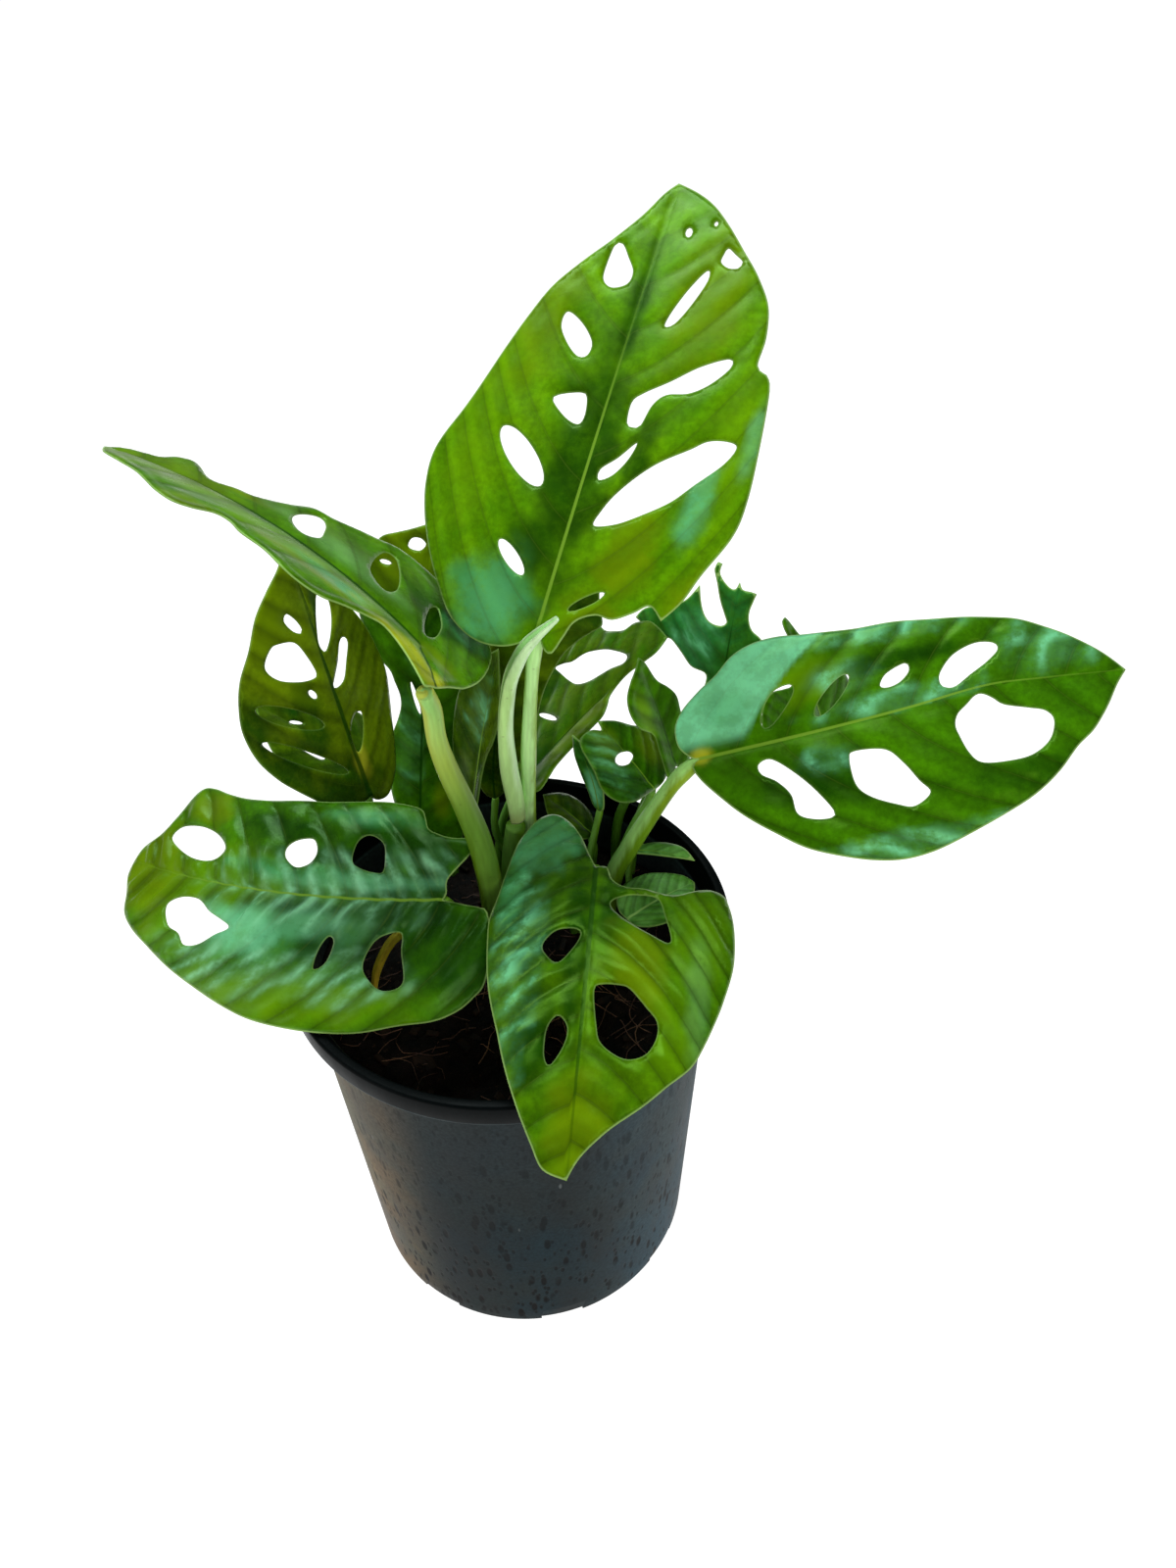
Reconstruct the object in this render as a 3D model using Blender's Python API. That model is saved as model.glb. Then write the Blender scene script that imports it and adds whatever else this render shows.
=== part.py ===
# Potted monkey mask monstera: a bushy young plant with holed leaves in a round black nursery pot.
# The Z axis is the pot's axis, the pot stands on z = 0 and the side seen in the photo faces -Y.
# Sizes are in millimetres, and MM turns them into metres.

import math

import bmesh
import bpy
from mathutils import Matrix, Vector
from mathutils.geometry import delaunay_2d_cdt

MM = 0.001

# Driving dimensions of the pot: a 14 cm nursery pot with a turned-out lip and slots around its base corner.
POT_HEIGHT = 146.7
RIM_RADIUS = 70.0
LIP_HEIGHT = 7.8
LIP_BLEND = 3.0
WALL_TOP_RADIUS = 64.6
BASE_RADIUS = 58.2
WALL = 1.5
LIP_WALL = 3.2
BASE_CORNER = 2.0
POT_SIDES = 96
SLOT_COUNT = 8
SLOT_WIDTH = 15.0
SLOT_HEIGHT = 3.2
SLOT_DEPTH = 7.0
SLOT_TURN = 12.0

# Potting soil, with its surface well under the rim and a plain hole for each stalk that stands in it.
SOIL_LEVEL = 125.0
SOIL_GAP = 0.3
SOIL_STEP = 11.0
SOIL_SWELL = 1.3
SOCKET_DEPTH = 12.0
SOCKET_SIDES = 12
SOCKET_ROOM = 0.9

# Leaf blades and stalks.
BLADE_THICKNESS = 0.8
SEAT_GAP = 0.3
SPINE_STEPS = 24
OUTLINE_STEP = 5.0
HOLE_STEP = 3.6
GRID_STEP = 9.5
GRID_MARGIN = 3.2
RIB_STEP = 8
RIB_END = 5
RIB_MARGIN = 1.5
STALK_SIDES = 8
STALK_STEP = 7.0

GREEN = (0.10, 0.26, 0.03)
DARK_GREEN = (0.05, 0.14, 0.02)
OLIVE = (0.13, 0.15, 0.02)
YELLOW_GREEN = (0.30, 0.42, 0.06)
PALE_GREEN = (0.48, 0.60, 0.28)
STRAW = (0.46, 0.36, 0.10)
POT_BLACK = (0.028, 0.034, 0.042)
SOIL_BROWN = (0.022, 0.016, 0.012)


def oval(start, end, width, sides=10):
    """A hole shaped as an ellipse whose long axis runs from start to end."""
    middle = Vector((start[0] + end[0], start[1] + end[1])) / 2
    along = Vector((end[0] - start[0], end[1] - start[1])) / 2
    across = Vector((-along.y, along.x)).normalized() * width / 2
    turns = [2 * math.pi * k / sides for k in range(sides)]
    return [tuple(middle + along * math.cos(a) + across * math.sin(a)) for a in turns]


# Each leaf is laid out flat: s runs along the midrib from the stalk to the tip, and t across it, to the left.
# Base is where the midrib starts. Heading, rise and roll turn the blade there, and bend and sway curve its
# midrib. Fold tilts the two halves up and curl rolls their margins down, each as one angle or as a pair, left
# and right. The stalk meets the blade at the base, or at a seat where one is given.
LEAVES = {
    "crown": dict(
        base=(13.9, 18.0, 242.7), heading=61.5, rise=48.6, roll=6, length=134.1, bend=14, sway=3,
        width=88, fold=6, curl=10, colour=GREEN,
        left=[(-5, 3), (-8, 9), (-8, 17), (-4, 25), (3, 31), (12, 37), (22, 42), (32, 45), (42, 45),
              (55, 40), (70, 35), (85, 30), (95, 26), (104, 20), (113, 13), (122, 7), (130, 3)],
        right=[(-5, -3), (-6, -6), (-1, -8), (4, -10), (7, -15), (7, -20), (10, -25), (13, -29),
               (10, -33), (16, -37), (24, -40), (36, -45), (46, -46), (60, -45), (76, -43), (80, -41),
               (82, -38), (90, -38), (99, -36), (107, -31), (114, -25), (121, -19), (127, -13), (131, -7)],
        corners=[(10, -33), (80, -41)],
        holes=[oval((12.7, 8.4), (20.6, 17.9), 4),
               oval((37.8, 11), (51.9, 26.9), 7.5),
               [(57, 6), (58, 10), (62, 15), (64, 14), (66, 8), (65, 6), (60, 5)],
               [(76, 12), (77, 9.5), (81, 9.5), (86, 14), (88.5, 19), (84, 19.5), (79, 16)],
               [(98, 9), (100, 12), (105, 12.5), (111, 12), (112, 10), (108, 7), (104, 4.5), (100, 5)],
               [(30.5, -7), (35, -8), (40, -10.5), (46, -15), (51, -20), (56, -27), (59, -31), (60, -36),
                (59, -39), (54, -37), (47, -31), (41, -26), (36, -19.5), (32, -13)],
               [(43, -4.5), (46, -4), (50, -8), (55, -12), (50, -11), (45, -8)],
               [(59, -9.5), (60, -7.5), (66, -7), (69, -9.5), (73.5, -16), (79, -23), (82.5, -30),
                (80, -31), (74.5, -27), (71, -22), (69.5, -16), (66, -13), (60, -11.5)],
               [(89, -9.5), (93, -10), (101, -13), (107, -16.5), (104, -17.5), (96, -15), (90, -12)],
               [(110, -19.5), (112.5, -19.6), (114.6, -20.2), (113, -22.6), (110.8, -25.4), (108.8, -24.6),
                (108.4, -22)],
               oval((6.5, -7.0), (13.4, -15.8), 2.5, 8),
               oval((116.6, -8.1), (119.8, -7.4), 2.1, 8),
               oval((120.9, -14.9), (122.5, -14.5), 1.2, 6)]),
    "right": dict(
        base=(59.2, 15.0, 196.9), heading=-1.8, rise=15.9, roll=32, length=126.1, bend=14, sway=3,
        width=76, fold=6, curl=14, colour=GREEN,
        left=[(-2, 1), (-5, 5), (-5, 11), (-2, 16), (4, 21), (10, 25), (16, 30), (23, 32.5), (31, 33),
              (40, 31.5), (52, 30), (66, 29), (80, 27), (92, 24.5), (100, 22), (107, 18), (114, 13),
              (121, 6.5)],
        right=[(-2, -2), (0, -7), (5, -14), (10, -20), (17, -26.5), (26, -33.5), (37, -38.5), (48, -41.5),
               (57, -41.5), (66, -39.5), (80, -35), (90, -31), (98, -26), (105, -20), (111, -16),
               (117, -10), (122, -4)],
        holes=[[(20.5, 7), (22, 11), (26, 15.5), (31, 16.5), (31.5, 14), (28, 9.5), (23.5, 5.5), (21, 5)],
               oval((36.3, 5), (48.2, 15.6), 4.5),
               [(56.4, 10), (59, 13.3), (65, 15.3), (65.6, 12.8), (62.4, 10), (58.6, 9)],
               [(73.3, 6.7), (74, 10), (79, 14.7), (86, 17), (91.3, 16), (92, 13.6), (88, 10.6),
                (82.4, 7.8), (77.4, 5.2), (74.7, 5.3)],
               [(17, -6), (19.7, -4.7), (22.4, -6), (27, -11), (31.3, -17), (35, -24), (34, -26),
                (29, -25.3), (25, -22.8), (24.4, -17), (21.3, -12.2), (17.4, -9)],
               [(42.7, -10), (44.7, -8), (53, -9.4), (57, -14.4), (60, -20.6), (62, -24.7), (57, -27.6),
                (52.4, -26), (45.8, -22.2), (42.7, -17.8)],
               [(74, -6.5), (75.6, -3.3), (79, -0.8), (81.5, 1), (83.8, 1.4), (86.5, -0.4), (89, -3.2),
                (95.5, -5.8), (99.6, -7.6), (101, -11), (98, -16.5), (92, -19.8), (85, -20.2),
                (78, -19), (75.4, -15.4), (74.2, -10)]]),
    "front": dict(
        base=(28.1, -0.9, 169.4), heading=-94.6, rise=4.9, roll=0, length=96.8, bend=34, sway=-3,
        width=72, fold=4, curl=18, colour=GREEN,
        left=[(0.2, 3.3), (5.8, 5.2), (8.9, 9.1), (9.3, 14.7), (10.8, 21.3), (10.2, 25.2), (7.4, 30.2),
              (5.8, 34.7), (6.9, 38.6), (10.2, 40.2), (17, 41.6), (26, 42), (35, 41), (43.6, 39), (50, 37),
              (60, 33), (66, 29.7), (71.3, 24), (77, 18), (83.6, 9.7), (90, 3.6), (94.7, 0.8)],
        right=[(-6.4, -2.6), (-14, -5.3), (-21, -9.2), (-25.3, -13.7), (-25, -18), (-21, -21.4),
               (-14, -24.2), (-5.3, -26.2), (4.7, -27.4), (19, -29.4), (30, -29.4), (39, -28.3), (50, -26),
               (60, -22.6), (70, -19.2), (80, -14.8), (89, -10), (94.7, -6.4)],
        holes=[[(12, 14), (13, 19), (19, 21), (28.5, 23), (26.5, 17), (22, 10), (18, 6), (15, 5.5),
                (12.5, 9.5)],
               [(44, 9.7), (45, 12.4), (50, 17), (54, 20.2), (59, 20.2), (63.6, 17.4), (65, 12),
                (61.3, 5.8), (55.8, 4), (45.8, 2.7), (44, 4.7)],
               [(25.8, -4.8), (27.4, -2.6), (32, -4), (37.7, -8), (35.8, -11.4), (32, -13), (27, -9.8)],
               [(54.2, -6), (57.4, -3.7), (62.4, -4.2), (68, -7.2), (65.8, -9), (59, -9.2),
                (55.2, -7.8)]]),
    "low": dict(
        base=(-17.1, -13.2, 169.5), heading=178.2, rise=-1.2, roll=-24, length=108.4, bend=20, sway=-24,
        width=68, fold=4, curl=16, colour=GREEN,
        left=[(-6.4, 1.6), (-11, 2.7), (-13.2, 4.2), (-14.6, 14), (-13, 25), (-9.8, 29.3), (-5.3, 33),
              (1.3, 35.7), (10, 37), (20, 39.3), (30, 40), (40, 39.6), (50, 38.4), (59, 35.8), (70, 31.6),
              (79, 28), (88, 23.8), (96, 20), (101.3, 16), (104, 10.4), (107.4, 5)],
        right=[(-1, -2), (-1, -6), (-4, -10), (-8, -15), (-9, -19), (-2, -19.8), (2.4, -21.2),
               (6.3, -23.4), (7.8, -27.3), (10, -30.7), (19, -32.3), (28, -33), (39, -32.3), (50, -31.8),
               (57, -31), (68, -30), (77, -29.3), (86, -30), (92.4, -30.7), (97.4, -29.8), (100, -26),
               (100.8, -18.4), (103, -11.2), (107.4, -5)],
        holes=[[(9.7, 25), (14.7, 27.3), (19, 24.3), (21, 20), (19, 13.8), (15.8, 11), (11.3, 10.4),
                (10.8, 16)],
               [(34.7, 22), (31.6, 20), (30.2, 14), (32.0, 12.2), (34.2, 16.5)],
               [(63.3, 12.7), (67, 16), (71.3, 19.7), (75.8, 20.7), (79, 17.7), (83.6, 16), (87, 10.4),
                (83.6, 7), (77, 6.2), (71.3, 9.3)],
               [(19, -9.6), (21.3, -8.2), (29, -10.7), (29.7, -16.2), (28, -19.6), (24.7, -20.4),
                (20.2, -17.3)],
               [(42.2, -14), (43.6, -10), (48, -8.4), (52.4, -11.2), (53, -14.6), (50, -17.3),
                (44.7, -18)],
               [(75.2, -11.2), (77.4, -7), (83.6, -5.8), (91.3, -7.3), (98, -10.7), (96, -15),
                (88, -16.6), (80, -15)]]),
    "wing": dict(
        base=(-17.3, 8.0, 245.2), heading=148.4, rise=37.6, roll=26, length=101.5, bend=30, sway=0,
        width=66, fold=6, curl=2, colour=GREEN,
        seat=(-11.5, 17.5),
        left=[(-10.5, 20), (-7, 17.5), (-2, 14), (4, 11), (9, 10), (13, 13.5), (18, 19), (22, 24),
              (28, 26), (34, 25.5), (41, 22.5), (48, 21.5), (53, 18.5), (57, 19), (60, 25), (64, 28),
              (70, 25.5), (76, 21), (82, 16.5), (88, 13.5), (96, 8.5)],
        right=[(-13, 14), (-14.5, 7.5), (-17, -0.5), (-18, -9), (-16.5, -19), (-12.5, -27), (-4, -33),
               (8, -34), (18, -35), (26, -34), (32, -30), (36, -28), (43.6, -24), (50, -22.6),
               (54.7, -15.6), (61.3, -9.4), (66, -8.3), (71.3, -6), (74.7, -6.7), (79, -10.6),
               (83, -12.8), (87, -10.6), (89, -6.3), (97, -4)],
        holes=[[(40, -9), (42, -6), (45, -5.5), (48.5, -8), (50, -12), (49, -17), (46, -20), (43, -17.5),
                (41, -13)],
               [(15.8, -12.8), (17, -8.3), (21.3, -9), (25.2, -12.8), (27.4, -21.7), (27, -27),
                (23.6, -27), (19, -20.6)],
               [(-1, -8.3), (0.8, -5.6), (3.6, -9.4), (6.3, -17.2), (5.8, -21.7), (2.4, -18.3),
                (0, -14)]]),
    "back": dict(
        base=(-44.9, 38.0, 166.2), heading=135.0, rise=73.4, roll=4, length=87.5, bend=8, sway=-8,
        width=52, fold=(6, -16), curl=4, colour=DARK_GREEN,
        left=[(0, 4), (2, 11), (6, 17), (10, 20), (16, 25), (22, 29.5), (30, 33.5), (39, 35), (46, 33.5),
              (53, 30), (60, 24), (68, 18.5), (74, 12), (80, 5)],
        right=[(-3, -3), (-4, -9), (1, -16), (8, -20), (16, -23), (25, -26), (36, -28), (48, -26),
               (58, -21), (68, -14), (78, -6)],
        holes=[[(44.7, 5.8), (45.8, 11.3), (49, 18), (53.6, 20.8), (58, 17), (58.6, 13.6), (57, 8),
                (51.3, 5.2), (45.8, 4)],
               [(59, 4.8), (60.5, 7.4), (64.2, 9.4), (66, 7.6), (63, 5), (60, 4)],
               oval((12, 5), (34, 30), 4.4),
               oval((29.8, 7.6), (44, 28.6), 5.4),
               oval((38.8, 6.8), (42, 9), 2.2, 6),
               [(38.6, -2), (40.2, -1), (45.8, -6), (51.3, -9.8), (52, -12.6), (49.7, -13.7),
                (44.7, -10.3), (39.7, -6.4)],
               [(50.8, -2.6), (51.8, -1), (55, -0.8), (60.5, -2.4), (65, -4.4), (68.2, -6.4), (68, -9.2),
                (65, -11), (59.5, -9.8), (54, -6.4)],
               [(16, -1.5), (19, -1), (23.6, -1.5), (27.4, -5.3), (27, -9.2), (22.4, -8),
                (17, -4.2)]]),
    "rear": dict(
        base=(-47.7, 62.0, 155.1), heading=170.0, rise=38.3, roll=0, length=48.0, bend=4, sway=0,
        width=40, fold=6, curl=8, colour=OLIVE,
        left=[(1, 5), (6, 10), (13, 15), (24, 19.5), (33, 17.5), (41, 11), (46, 5)],
        right=[(0, -5), (3, -12), (8, -19), (14, -23), (20, -21.5), (24, -18), (29, -15), (37, -8.5),
               (44, -3)],
        holes=[oval((30.8, -3), (35, -0.6), 1.5, 6),
               [(19, 5.4), (24, 3.6), (28.2, 5.2), (28.4, 8), (24, 8.6), (19.4, 7.8)]]),
    "tall": dict(
        base=(-32.9, 48.0, 140.4), heading=76.3, rise=67.8, roll=10, length=106.0, bend=9, sway=0,
        width=50, fold=(-4, 8), curl=8, colour=DARK_GREEN,
        left=[(3, 6), (8, 8), (11, 9.5), (18, 11), (27, 11.5), (35, 10.2), (40, 8.6), (44.5, 7.6),
              (48.5, 8), (53, 10), (57, 12), (61.5, 17), (65.5, 20), (71.5, 22), (76, 23.6), (84, 24.5),
              (92, 22), (97.5, 19), (101, 16), (102.5, 11), (103.6, 7), (104.8, 3.4)],
        right=[(-7, -6), (-8, -10), (-2, -15), (9, -15), (22, -14), (38, -16), (56, -18), (74, -18),
               (90, -14), (99, -7), (104, -2)],
        holes=[[(98.3, 7), (100.3, 6.4), (101.2, 5), (101, 2.8), (99.4, 1), (98, 1.6), (97, 3),
                (97.3, 5.6)],
               oval((93, 16.6), (92.2, 12.4), 1.5, 8),
               oval((53.5, 4.4), (42.5, 0.8), 1.5, 8)]),
    "mid": dict(
        base=(-12.4, 31.0, 160.5), heading=37.9, rise=77.9, roll=0, length=62.5, bend=6, sway=0,
        width=26, fold=14, curl=6, colour=OLIVE,
        left=[(2, 3), (9, 7), (20, 11), (31, 13), (42, 12.5), (50, 9), (57, 5)],
        right=[(2, -2), (9, -3.4), (20, -3.8), (28, -5.2), (35, -7.7), (44, -8.5), (54, -5)],
        holes=[]),
    "shade": dict(
        base=(-0.4, 48.0, 156.4), heading=23.2, rise=44.3, roll=-10, length=75.7, bend=10, sway=0,
        width=60, fold=6, curl=8, colour=OLIVE,
        left=[(0, 4), (2, 12), (8, 22), (16, 32), (25, 41), (35, 48), (46, 51.5), (54, 49.5), (59.5, 42),
              (60.6, 30), (63, 24), (66, 20), (70.5, 19), (74.5, 14), (75.6, 7)],
        right=[(3, -4), (8, -10), (12, -13.6), (17, -11.9), (21, -10.4), (29.4, -9.9), (38.5, -10),
               (43.4, -9.5), (46.7, -6.2), (49, -3), (54, -0.8), (59, -0.4), (64.5, -1.8), (70, -2.6)],
        holes=[[(38.5, 34.4), (41.8, 32.4), (45, 29), (50.8, 26.6), (55.8, 21), (59, 15), (61.5, 7.7),
                (59, 5.6), (54, 8.5), (46, 11.8), (41.8, 16), (40, 22.5), (39, 29)],
               oval((24.5, 20.5), (29, 9.5), 2.0, 8)]),
    "nook": dict(
        base=(-5.0, 44.5, 158.0), heading=0.0, rise=93.0, roll=82, length=92.0, bend=8, sway=-54,
        width=50, fold=6, curl=8, colour=DARK_GREEN,
        left=[(2, 3), (7, 5), (16.5, 6.5), (30, 7), (43.5, 9.5), (58, 13), (65, 12.5), (70.5, 11.5),
              (75, 9.5), (82, 4.5), (88.5, 1.5)],
        right=[(3, -3), (8, -4), (14, -5.5), (20, -9.5), (28.5, -12.5), (40, -10.8), (51.5, -9), (61, -8),
               (67.5, -7.5), (74, -8), (80, -9), (84.5, -9.4), (88.5, -4)],
        holes=[]),
    "lobed": dict(
        base=(71.5, 66.0, 177.1), heading=70.8, rise=62.5, roll=0, length=43.4, bend=10, sway=0,
        width=50, fold=4, curl=10, colour=GREEN,
        left=[(-2, 3), (4, 6), (11, 6), (13, 11.5), (17.5, 16), (21, 20), (21.2, 23), (23.5, 29),
              (26.5, 34), (30, 31), (32.5, 24), (34.5, 17.5), (40.5, 13.2), (34.5, 11.6), (30.5, 9.6),
              (28.4, 7), (28, 3.6), (29.4, 2), (31.6, 3), (36.5, 5.5), (42, 7.5), (46.4, 9.2),
              (49, 8.4), (48.5, 6.8), (45.8, 7.2), (43.4, 5.8), (41, 3), (40.8, 1)],
        right=[(0, -5), (6, -11), (14, -15), (21, -14), (25.6, -10.5), (28, -7), (31, -5.4), (34, -5),
               (37, -5.6), (40.2, -6.4), (40.6, -4.4), (41, -1.4)],
        corners=[(26.5, 34), (40.5, 13.2), (49, 8.4), (48.5, 6.8), (40.2, -6.4)],
        holes=[]),
    "holed": dict(
        base=(48.0, 34.0, 169.2), heading=149.9, rise=50.3, roll=0, length=29.4, bend=10, sway=0,
        width=36, fold=4, curl=10, colour=DARK_GREEN,
        left=[(0.8, 3), (3, 10.7), (7.2, 16), (13, 18), (19.6, 15.8), (27, 14), (29.8, 10.7), (29, 5),
              (26.5, 1.5)],
        right=[(-0.6, -5), (0.6, -12), (3, -18), (8, -19.4), (12, -18), (17, -14), (20.4, -10),
               (25.3, -5.6)],
        holes=[oval((13.5, -2), (16.2, 6.4), 4.4)]),
    "small": dict(
        base=(54.9, 36.0, 177.2), heading=139.5, rise=69.6, roll=0, length=38.8, bend=6, sway=0,
        width=16, fold=12, curl=6, colour=DARK_GREEN,
        left=[(-3, 2), (-1, 6), (8, 6), (14.8, 6), (19.7, 11), (25.5, 13), (30.4, 11.8), (33.7, 7.7),
              (36.2, 4)],
        right=[(-2.5, -3.5), (-0.5, -6), (8, -7.6), (16.4, -7.9), (21.4, -8.2), (25.5, -6.2), (29.6, -3.2),
               (36.2, -1.5)],
        holes=[]),
    "slim": dict(
        base=(29.7, 33.5, 161.0), heading=53.4, rise=95.2, roll=0, length=29.8, bend=10, sway=40,
        width=12, fold=10, curl=14, colour=GREEN,
        left=[(2, 2.0), (8, 3.0), (15, 3.8), (22, 3.4), (27, 1.6)],
        right=[(2, -2.2), (8, -3.6), (15, -4.8), (22, -4.6), (27, -2.2)],
        holes=[]),
    "under": dict(
        base=(27.6, 38.0, 146.4), heading=149.3, rise=40.6, roll=10, length=22.0, bend=20, sway=0,
        width=20, fold=4, curl=14, colour=DARK_GREEN,
        left=[(1, 4), (5, 8), (11, 9), (17, 6.5)],
        right=[(1, -4), (5, -8), (11, -9), (17, -6.5)],
        holes=[]),
    "blade": dict(
        base=(39.9, 30.2, 146.0), heading=-26.4, rise=25.1, roll=0, length=23.7, bend=28, sway=0,
        width=9, fold=10, curl=10, colour=GREEN,
        left=[(2, 2.4), (8, 4.4), (14, 4.6), (19, 3.4)],
        right=[(2, -1.6), (8, -2.0), (14, -1.8), (19, -1.0)],
        holes=[]),
    "curled": dict(
        base=(37.5, -1.0, 146.0), heading=36.1, rise=8.0, roll=0, length=28.3, bend=20, sway=0,
        width=18, fold=10, curl=16, colour=YELLOW_GREEN,
        left=[(0, 4), (3, 9), (9, 12.5), (17, 12.5), (23, 8.5), (27, 4)],
        right=[(0, -4), (4, -8), (12, -10), (19, -8), (25, -3.6)],
        holes=[]),
    "far": dict(
        base=(114.4, 70.0, 150.4), heading=139.6, rise=68.4, roll=0, length=56.0, bend=10, sway=0,
        width=34, fold=10, curl=8, colour=DARK_GREEN,
        left=[(0, 6), (4, 15), (12, 25), (22, 31.5), (31, 32), (36.5, 28), (38.2, 22), (36.4, 16),
              (35.4, 11), (39, 6.5), (44, 3.4), (49, 2.8), (53, 3.2), (55.6, 2.6)],
        right=[(0, -4), (5, -12), (14, -18), (24, -18.5), (34, -12), (42, -6), (48, -3), (52, -1.6),
               (54.4, -0.8)],
        holes=[]),
}

# Each stalk rises from the soil to the underside of its leaf. Route is its middle line from below, without
# the last point, which is the leaf's seat. Radii are its half widths along the same points, seat included.
STALKS = {
    "crown": dict(
        route=[(7.6, 36.0, 113.0), (7.6, 35.8, 128.0), (6.8, 34.0, 150.0), (7.2, 30.8, 168.0),
               (8.5, 25.4, 192.0), (10.0, 22.0, 211.0), (12.0, 19.6, 230.0)],
        radii=[2.4, 2.4, 2.4, 2.4, 2.6, 2.2, 2.0, 1.6], colour=YELLOW_GREEN),
    "wing": dict(
        route=[(-3.4, 4.4, 113.0), (-3.4, 3.8, 128.0), (-3.9, 0.0, 150.0), (-4.3, -2.0, 168.0),
               (-5.8, -3.5, 184.0), (-8.6, -5.5, 199.6), (-11.8, -7.0, 213.8), (-13.4, -8.5, 225.2),
               (-13.5, -9.5, 236.0)],
        radii=[3.2, 3.4, 3.6, 3.8, 3.7, 3.4, 3.1, 2.8, 2.7, 2.4], colour=PALE_GREEN),
    "right": dict(
        route=[(31.6, 20.6, 113.0), (31.8, 20.2, 128.0), (34.6, 18.8, 147.0), (39.4, 17.2, 160.0),
               (46.4, 15.8, 176.0), (53.4, 14.4, 190.0)],
        radii=[3.0, 3.2, 3.3, 3.2, 2.8, 2.4, 1.8], colour=PALE_GREEN),
    "front": dict(
        route=[(21.0, 13.0, 113.0), (21.2, 12.6, 127.0), (24.0, 7.8, 147.0), (26.8, 3.4, 160.0)],
        radii=[2.2, 2.3, 2.2, 2.0, 1.6], colour=YELLOW_GREEN),
    "low": dict(
        route=[(-14.0, 2.0, 113.0), (-14.1, 1.6, 127.0), (-14.4, -4.4, 147.0), (-15.2, -10.4, 161.0)],
        radii=[2.2, 2.3, 2.2, 2.0, 1.6], colour=YELLOW_GREEN),
    "back": dict(
        route=[(-26.0, 33.0, 113.0), (-26.2, 33.2, 127.0), (-36.0, 39.6, 143.0), (-46.6, 44.2, 154.0)],
        radii=[2.0, 2.1, 2.0, 1.8, 1.4], colour=YELLOW_GREEN),
    "tall": dict(
        route=[(-22.0, 43.0, 113.0), (-22.1, 43.2, 127.0), (-28.0, 48.6, 136.0)],
        radii=[1.8, 1.9, 1.7, 1.3], colour=YELLOW_GREEN),
    "rear": dict(
        route=[(-14.0, 51.0, 113.0), (-14.1, 51.2, 127.0), (-20.0, 57.0, 149.0), (-38.0, 64.0, 152.0),
               (-48.4, 65.4, 150.6)],
        radii=[1.6, 1.7, 1.6, 1.4, 1.3, 1.0], colour=YELLOW_GREEN),
    "mid": dict(
        route=[(-9.6, 26.6, 113.0), (-9.6, 26.8, 127.0), (-11.0, 31.0, 148.0)],
        radii=[1.8, 1.9, 1.7, 1.2], colour=YELLOW_GREEN),
    "shade": dict(
        route=[(-6.0, 44.0, 113.0), (-6.0, 44.2, 127.0), (-3.4, 47.6, 145.0)],
        radii=[1.7, 1.8, 1.6, 1.2], colour=YELLOW_GREEN),
    "nook": dict(
        route=[(0.6, 42.4, 113.0), (0.6, 42.4, 127.0), (-5.6, 43.2, 144.0)],
        radii=[1.4, 1.5, 1.4, 1.0], colour=YELLOW_GREEN),
    "lobed": dict(
        route=[(40.6, 41.0, 113.0), (40.7, 41.1, 127.0), (43.4, 43.6, 148.0), (53.0, 54.0, 163.0),
               (66.0, 65.0, 171.0)],
        radii=[1.7, 1.8, 1.7, 1.6, 1.4, 1.2], colour=YELLOW_GREEN),
    "holed": dict(
        route=[(32.0, 30.6, 113.0), (32.2, 30.8, 127.0), (40.0, 34.2, 150.0), (46.0, 35.6, 163.0)],
        radii=[1.6, 1.7, 1.6, 1.4, 1.1], colour=YELLOW_GREEN),
    "small": dict(
        route=[(35.8, 36.0, 113.0), (36.0, 36.1, 127.0), (45.6, 38.8, 150.0), (53.0, 38.6, 168.0)],
        radii=[1.5, 1.6, 1.5, 1.3, 1.0], colour=YELLOW_GREEN),
    "slim": dict(
        route=[(24.0, 29.0, 113.0), (24.1, 29.2, 127.0), (27.2, 32.8, 146.0)],
        radii=[1.5, 1.5, 1.4, 1.0], colour=YELLOW_GREEN),
    "under": dict(
        route=[(27.0, 41.0, 113.0), (27.1, 41.0, 127.0), (28.0, 40.0, 138.0)],
        radii=[1.4, 1.4, 1.3, 1.0], colour=YELLOW_GREEN),
    "blade": dict(
        route=[(40.0, 25.6, 113.0), (40.0, 26.0, 127.0), (39.4, 29.6, 137.0)],
        radii=[1.3, 1.3, 1.2, 0.9], colour=YELLOW_GREEN),
    "curled": dict(
        route=[(31.0, -6.0, 113.0), (31.1, -5.8, 127.0), (34.4, -3.4, 138.0)],
        radii=[1.5, 1.5, 1.4, 1.0], colour=YELLOW_GREEN),
    "far": dict(
        route=[(35.4, 46.6, 113.0), (35.5, 46.7, 127.0), (38.4, 49.4, 149.0), (56.0, 64.0, 165.0),
               (86.0, 76.0, 165.0), (107.0, 74.0, 154.0)],
        radii=[1.7, 1.8, 1.7, 1.6, 1.5, 1.4, 1.1], colour=YELLOW_GREEN),
}

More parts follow.
